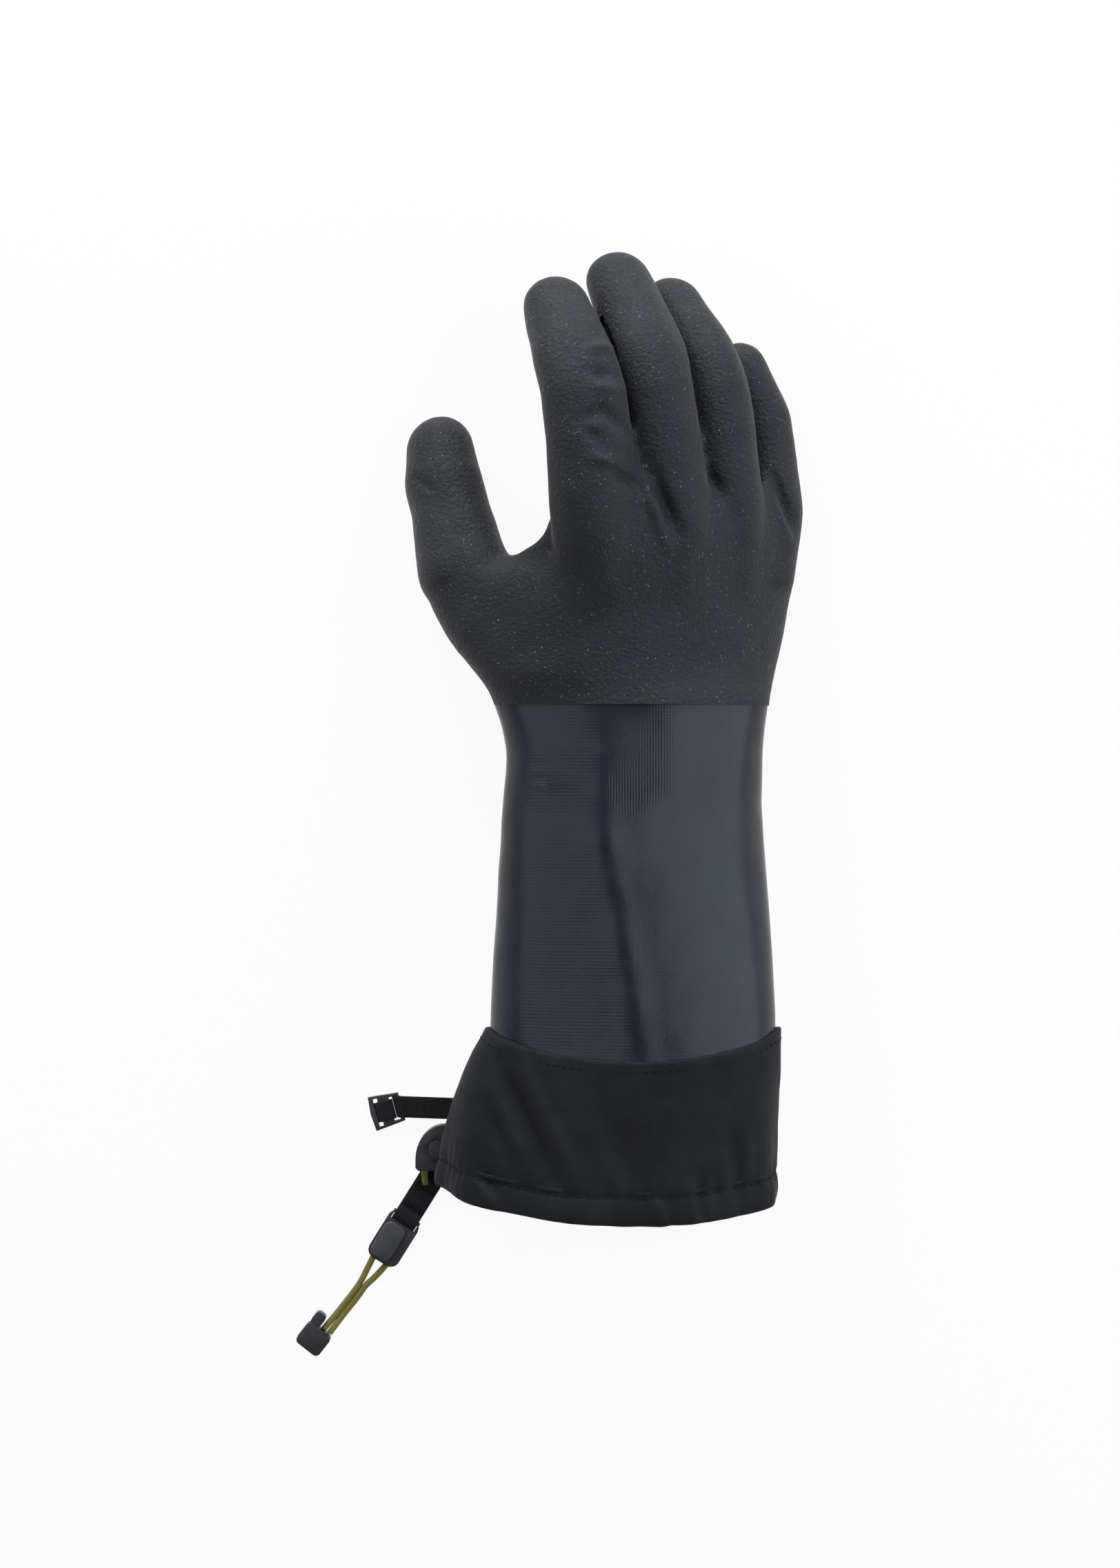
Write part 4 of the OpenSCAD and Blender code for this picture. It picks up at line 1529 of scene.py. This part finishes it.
@dataclass
class Hardware:
    """Strap, buckle, cord lock, pull tab and leash clip."""

    hinge: tuple[float, float, float] = (-70.0, -142.2, 2.0)
    strap_turn: float = -2.0
    strap_length: float = 20.2
    strap_sewn: float = 23.5
    strap_width: float = 8.2
    strap_loop: tuple[float, float, float] = (1.75, 0.5, 0.85)
    strap_skew: float = 7.0
    buckle_turn: float = 17.0
    tail_corners: tuple[tuple[float, float], ...] = (
        (3.4, -1.4), (7.4, -1.4), (8.9, -0.9), (9.05, 0.6), (7.8, 1.85), (5.6, 2.15),
        (3.4, 1.85), (2.66, 0.7), (2.7, -0.8))
    tail_narrower: float = 0.6
    tail_pitch: float = 0.8
    clip_bar: tuple[float, float, float] = (-87.5, -184.4, 2.3)
    tab_angle: float = 238.0
    tab_length: float = 16.7
    tab_width: float = 10.0
    tab_loop: tuple[float, float, float] = (2.86, 0.5, 0.56)
    tab_root: tuple[tuple[float, float], ...] = (
        (0.6, -0.75), (1.3, -1.2), (2.1, -1.6), (2.9, -1.78), (3.9, -1.8), (4.9, -1.8))
    tack_rows: tuple[float, float] = (5.0, 13.0)
    tack_stitches: int = 12
    tack_pitch: float = 0.7
    tack_half: tuple[float, float, float] = (1.2, 0.3, 0.25)
    anchor_steps: int = 12
    spring_radius: float = 0.08
    spring_foot: float = 2.1
    spring_keep: float = 0.05
    weld: float = 0.01
    flat_angle: float = 1.0
    edge_angle: float = 35.0
    sharp_angle: float = 38.0
    moulded: tuple[tuple[str, Slot, Body, float], ...] = (
        ("ladder_buckle", Slot.PLASTIC, Body.BUCKLE, 0.45),
        ("cord_lock_body", Slot.PLASTIC, Body.GLOVE, 0.8),
        ("cord_lock_plunger", Slot.PLASTIC, Body.PLUNGER, 0.5),
        ("leash_clip_base", Slot.PLASTIC, Body.CLIP, 0.5),
        ("leash_clip_cover", Slot.PANEL, Body.CLIP, 0.7),
        ("leash_cord_end", Slot.PLASTIC, Body.CLIP, 0.7),
    )

    def build(self) -> None:
        """Builds all of it."""
        for node, slot, body, radius in self.moulded:
            self.mould(node, slot, body, radius)
        self.strap()
        self.tab()
        self.anchor()
        spring = self.mould("cord_lock_spring", Slot.STEEL, Body.GLOVE, self.spring_radius)
        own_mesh(spring)

    def mould(self, node: str, slot: Slot, body: Body, radius: float) -> bpy.types.Object:
        """Moulded copy of a CAD node with rounded edges.

        Args:
            node: CAD node that is copied and replaced.
            slot: Slot of its finish.
            body: Body that it rides on.
            radius: Radius of its edges, in millimetres.

        Returns:
            The piece.
        """
        bm = bmesh.new()
        bm.from_mesh(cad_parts[node].data)
        bmesh.ops.remove_doubles(bm, verts=bm.verts, dist=self.weld * MM)
        bmesh.ops.dissolve_limit(bm, angle_limit=math.radians(self.flat_angle), verts=bm.verts,
                                 edges=bm.edges)
        piece = new_piece(f"moulded_{node}", bm, False)
        edge = piece.modifiers.new("radius", "BEVEL")
        edge.width = radius * MM
        edge.segments = 3
        edge.limit_method = "ANGLE"
        edge.angle_limit = math.radians(self.edge_angle)
        edge.use_clamp_overlap = True
        bake_modifiers(piece)
        piece.data.shade_smooth()
        piece.data.set_sharp_from_angle(angle=math.radians(self.sharp_angle))
        dress(piece, slot, node)
        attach(piece, body.value)
        return piece

    def strap(self) -> None:
        """Cinch strap, from its seam under the cuff to the buckle's turned bar."""
        turn = math.radians(self.strap_turn)
        along = Vector((math.cos(turn), math.sin(turn), 0))
        side = Vector((-math.sin(turn), math.cos(turn), 0))
        hinge = place(*self.hinge)
        bar = hinge - along * self.strap_length * MM
        path = loop_path(bar, along, self.strap_length + self.strap_sewn, *self.strap_loop)
        piece = Ribbon("cinch_strap_web", path, self.strap_width, side).build()
        skew = math.tan(math.radians(self.buckle_turn))
        for vert in piece.data.vertices:
            off = vert.co - bar
            fade = min(max(1 - off.dot(along) / (self.strap_skew * MM), 0), 1)
            vert.co -= along * (skew * off.dot(side) * fade)
        web = RibbedWeb("strap_webbing", self.strap_turn).build()
        dress(piece, Slot.WEBBING, "cinch_strap", "strap_anchor", "strap_bar_tack", material=web)
        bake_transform(piece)
        self.tail(bar, math.radians(self.strap_turn + self.buckle_turn))

    def tail(self, bar: Vector, turn: float) -> None:
        """Strap's tail, wrapped round the buckle's grip bar.

        Args:
            bar: Middle of the buckle's bar, in metres.
            turn: Turn of the buckle, in radians.
        """
        out = Vector((-math.cos(turn), -math.sin(turn), 0))
        side = Vector((-math.sin(turn), math.cos(turn), 0))
        rows = [(*c, 0.0) for c in self.tail_corners]
        path = [bar + (out * p[0] + Vector((0, 0, p[1]))) * MM for p, _ in course(rows, 5)]
        width = self.strap_width - self.tail_narrower
        piece = Ribbon("buckle_tail_web", path, width, side, 1.0).build()
        web = RibbedWeb("tail_webbing", math.degrees(turn), pitch=self.tail_pitch).build()
        dress(piece, Slot.WEBBING, material=web)
        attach(piece, Body.BUCKLE.value)

    def tab(self) -> None:
        """Pull tab round the clip's bar, with its two bar tacks."""
        a = math.radians(self.tab_angle)
        back = Vector((-math.cos(a), -math.sin(a), 0))
        side = Vector((-math.sin(a), math.cos(a), 0))
        bar = place(*self.clip_bar)
        path = loop_path(bar, back, self.tab_length, *self.tab_loop)
        for x, z in self.tab_root:
            path.append(bar + (back * (self.tab_length + x) + Vector((0, 0, z))) * MM)
        piece = Ribbon("pull_tab_web", path, self.tab_width, side).build()
        web = RibbedWeb("tab_webbing", self.tab_angle).build()
        dress(piece, Slot.WEBBING, "pull_tab", material=web)
        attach(piece, Body.GLOVE.value)
        bm = bmesh.new()
        turn = Matrix.Rotation(a, 4, "Z")
        middle = (self.tack_stitches - 1) / 2
        for x in self.tack_rows:
            for i in range(self.tack_stitches):
                shift = bar + (back * (x + (0.5 if i % 2 else -0.5))
                               + side * (i - middle) * self.tack_pitch + Vector((0, 0, 1.0))) * MM
                add_stitch(bm, shift, turn, self.tack_half)
        tacks = dress(new_piece("pull_tab_tacks", bm), Slot.THREAD, "pull_tab_bar_tack")
        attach(tacks, Body.GLOVE.value)

    def anchor(self) -> None:
        """Short webbing that holds the cord lock to the cuff."""
        low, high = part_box("cord_lock_anchor")
        y, z = (low.y + high.y) / 2, (low.z + high.z) / 2
        steps = self.anchor_steps
        path = [Vector((low.x + (high.x - low.x) * i / steps, y, z)) for i in range(steps + 1)]
        piece = Ribbon("lock_anchor_web", path, (high.y - low.y) / MM, Vector((0, 1, 0))).build()
        dress(piece, Slot.WEBBING, "cord_lock_anchor")
        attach(piece, Body.GLOVE.value)


@dataclass
class Cords:
    """The hem's drawcord and the two leash cords."""

    cuff: Cuff
    diameter: float = 2.45
    sides: int = 14
    hem_depth: float = 2.3
    hem_run: tuple[int, int, int] = (242, 575, 10)
    eyelet: tuple[float, float] = (222, 0.4)
    left: tuple[Station, ...] = (
        (-99.4, -197.9, 2.3), (-100.7, -200.1, 2.2), (-102.9, -204.5, 1.6), (-105.3, -209.2, 1.4),
        (-108.1, -213.3, 1.4), (-111.1, -217.2, 1.4), (-114.3, -221.2, 1.6),
        (-117.4, -224.9, 2.4), (-119.7, -227.6, 3.2))
    right: tuple[Station, ...] = (
        (-94.5, -201, 2.3), (-95.8, -203.1, 2.2), (-99.8, -207.5, 1.6), (-103.5, -211, 1.4),
        (-106.3, -214.9, 1.4), (-109.3, -218.7, 1.4), (-112.5, -222.7, 1.6),
        (-115.2, -226.2, 2.4), (-117.4, -229.1, 3.2))
    draw_out: tuple[Station, ...] = (
        (-61.8, -170, 5.2), (-64.6, -165, 4.8), (-65, -157, 5), (-65.4, -150, 5.2),
        (-68, -147, 5.4), (-71.6, -149.8, 5.5), (-75.4, -156.9, 5.5), (-80.1, -165.7, 5.5),
        (-80.5, -168.2, 4.4), (-80.2, -171.2, 2.8))

    def tube(self, name: str, route: Sequence[Station], steps: int) -> tuple[bpy.types.Object, list]:
        """Round cord along a route.

        Args:
            name: Name of the piece.
            route: Places in millimetres from the wrist.
            steps: Rings to each stretch.

        Returns:
            The piece and the points of its middle line, in metres.
        """
        rings, points = [], []
        for p, v in course(route, steps):
            t = Vector(v).normalized()
            across = t.cross(Vector((0, 0, 1))).normalized()
            r = self.diameter / 2 * MM
            rings.append(axes_frame((across * r, across.cross(t) * r, t * MM), place(*p)))
            points.append(place(*p))
        bm = bmesh.new()
        add_loft(bm, rings, self.sides, True)
        piece = dress(new_piece(name, bm), Slot.CORD)
        return piece, points

    def leash(self) -> None:
        """The two cords from the clip to the end piece."""
        for side, route in (("left", self.left), ("right", self.right)):
            piece, points = self.tube(f"leash_cord_{side}_braid", route, 5)
            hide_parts(f"leash_cord_{side}")
            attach(piece, Body.CLIP.value)

    def drawcord(self) -> None:
        """The cord in the hem, out by the eyelet, through the lock and into the tab."""
        share = self.cuff.cord_share
        turns = [self.cuff.point(a, share, self.hem_depth) for a in range(*self.hem_run)]
        angle, depth = self.eyelet
        out = self.cuff.point(angle, share, depth)
        piece, _ = self.tube("hem_drawcord_braid", [*turns, out, *self.draw_out], 4)
        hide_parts("hem_drawcord")
        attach(piece, Body.GLOVE.value)


@dataclass
class Studio:
    """Pale floor, soft lights and the camera above the glove."""

    camera_height: float = 1.236
    aim: tuple[float, float] = (-28.08, -16.38)
    plane_height: float = 0.036
    frame_height: float = PIXEL * PHOTO_ROWS * MM
    sensor: float = 36.0
    view_limit: float = 20.0
    lamps: tuple[tuple[str, tuple, tuple, tuple, float, Colour], ...] = (
        ("right_softbox", (0.97, -0.05, 0.82), (0.0, -0.05, 0.03), (1.0, 1.5), 9.7, (0.84, 0.92, 1)),
        ("left_softbox", (-0.66, -0.05, 1.03), (0.0, 0.0, 0.03), (0.75, 1.2), 3.3, (0.95, 0.95, 1)),
        ("far_softbox", (-0.1, 1.3, 0.6), (0, 0.1, 0.03), (2.0, 1.0), 31.0, (0.93, 0.96, 1)),
    )
    sky: tuple[float, float] = (0.6, 0.02)
    sky_stops: tuple[float, float] = (0.1, 0.8)
    sky_tint: Colour = (0.9, 0.95, 1.04)
    floor_size: float = 40.0
    floor_colour: Colour = (0.86, 0.87, 0.88)
    floor_rough: float = 0.9
    floor_glow: float = 0.92

    def build(self) -> None:
        """Builds the set and the camera."""
        scene = bpy.context.scene
        scene.view_settings.view_transform = "Standard"
        data = bpy.data.cameras.new("photo_camera")
        data.sensor_width = self.sensor
        reach = self.camera_height - self.plane_height
        data.lens = self.sensor * reach / self.frame_height
        data.clip_end = self.view_limit
        camera = bpy.data.objects.new("photo_camera", data)
        camera.location = place(*self.aim, self.camera_height / MM)
        scene.collection.objects.link(camera)
        scene.camera = camera
        for name, at, target, size, watts, shade in self.lamps:
            self.softbox(name, Vector(at), Vector(target), size, watts, shade)
        self.world()
        self.floor()

    def softbox(self, name: str, at: Vector, target: Vector, size: tuple[float, float],
                watts: float, shade: Colour) -> None:
        """One rectangular area light that faces a target.

        Args:
            name: Name of the light.
            at: Its place, in metres.
            target: Point that it faces.
            size: Its width and height, in metres.
            watts: Its power.
            shade: Its colour.
        """
        data = bpy.data.lights.new(name, "AREA")
        data.shape = "RECTANGLE"
        data.size, data.size_y = size
        data.energy = watts
        data.color = shade
        lamp = bpy.data.objects.new(name, data)
        lamp.location = at
        lamp.rotation_euler = (target - at).to_track_quat("-Z", "Y").to_euler()
        bpy.context.scene.collection.objects.link(lamp)

    def world(self) -> None:
        """Surroundings that are pale at the sides and dim overhead."""
        world = bpy.data.worlds.new("studio")
        world.use_nodes = True
        tree = world.node_tree
        way = tree.nodes.new("ShaderNodeTexCoord")
        split = tree.nodes.new("ShaderNodeSeparateXYZ")
        shade = tree.nodes.new("ShaderNodeValToRGB")
        for stop, at, level in zip(shade.color_ramp.elements, self.sky_stops, self.sky):
            stop.position = at
            stop.color = (*(tint * level for tint in self.sky_tint), 1)
        tree.links.new(way.outputs["Generated"], split.inputs[0])
        tree.links.new(split.outputs["Z"], shade.inputs["Fac"])
        tree.links.new(shade.outputs["Color"], tree.nodes["Background"].inputs["Color"])
        bpy.context.scene.world = world

    def floor(self) -> None:
        """Pale floor that shows white to the camera and keeps the shadow."""
        bm = bmesh.new()
        bmesh.ops.create_grid(bm, x_segments=1, y_segments=1, size=self.floor_size)
        floor = new_piece("floor", bm)
        material = bpy.data.materials.new("pale_floor")
        material.use_nodes = True
        tree = material.node_tree
        shader = tree.nodes["Principled BSDF"]
        shader.inputs["Base Color"].default_value = (*self.floor_colour, 1)
        shader.inputs["Roughness"].default_value = self.floor_rough
        glow = tree.nodes.new("ShaderNodeEmission")
        glow.inputs["Color"].default_value = (1, 1, 1, 1)
        rays = tree.nodes.new("ShaderNodeLightPath")
        share = tree.nodes.new("ShaderNodeMath")
        share.operation = "MULTIPLY"
        share.inputs[1].default_value = self.floor_glow
        mix = tree.nodes.new("ShaderNodeMixShader")
        seen = rays.outputs["Is Camera Ray"]
        for kind in ("Is Glossy Ray", "Is Transmission Ray"):
            either = tree.nodes.new("ShaderNodeMath")
            either.operation = "MAXIMUM"
            tree.links.new(seen, either.inputs[0])
            tree.links.new(rays.outputs[kind], either.inputs[1])
            seen = either.outputs[0]
        tree.links.new(seen, share.inputs[0])
        tree.links.new(share.outputs[0], mix.inputs[0])
        tree.links.new(shader.outputs[0], mix.inputs[1])
        tree.links.new(glow.outputs[0], mix.inputs[2])
        tree.links.new(mix.outputs[0], tree.nodes["Material Output"].inputs[0])
        floor.data.materials.append(material)


def main() -> None:
    """Builds the set and every piece of the glove, in order."""
    logging.basicConfig(level=logging.INFO, format="%(name)s: %(message)s")
    Studio().build()
    cuff = Cuff()
    hardware = Hardware()
    hardware.build()
    cords = Cords(cuff)
    cords.leash()
    cords.drawcord()
    Gauntlet().build()
    cuff.build()
    DippedHand().build()


if __name__ == "__main__":
    main()
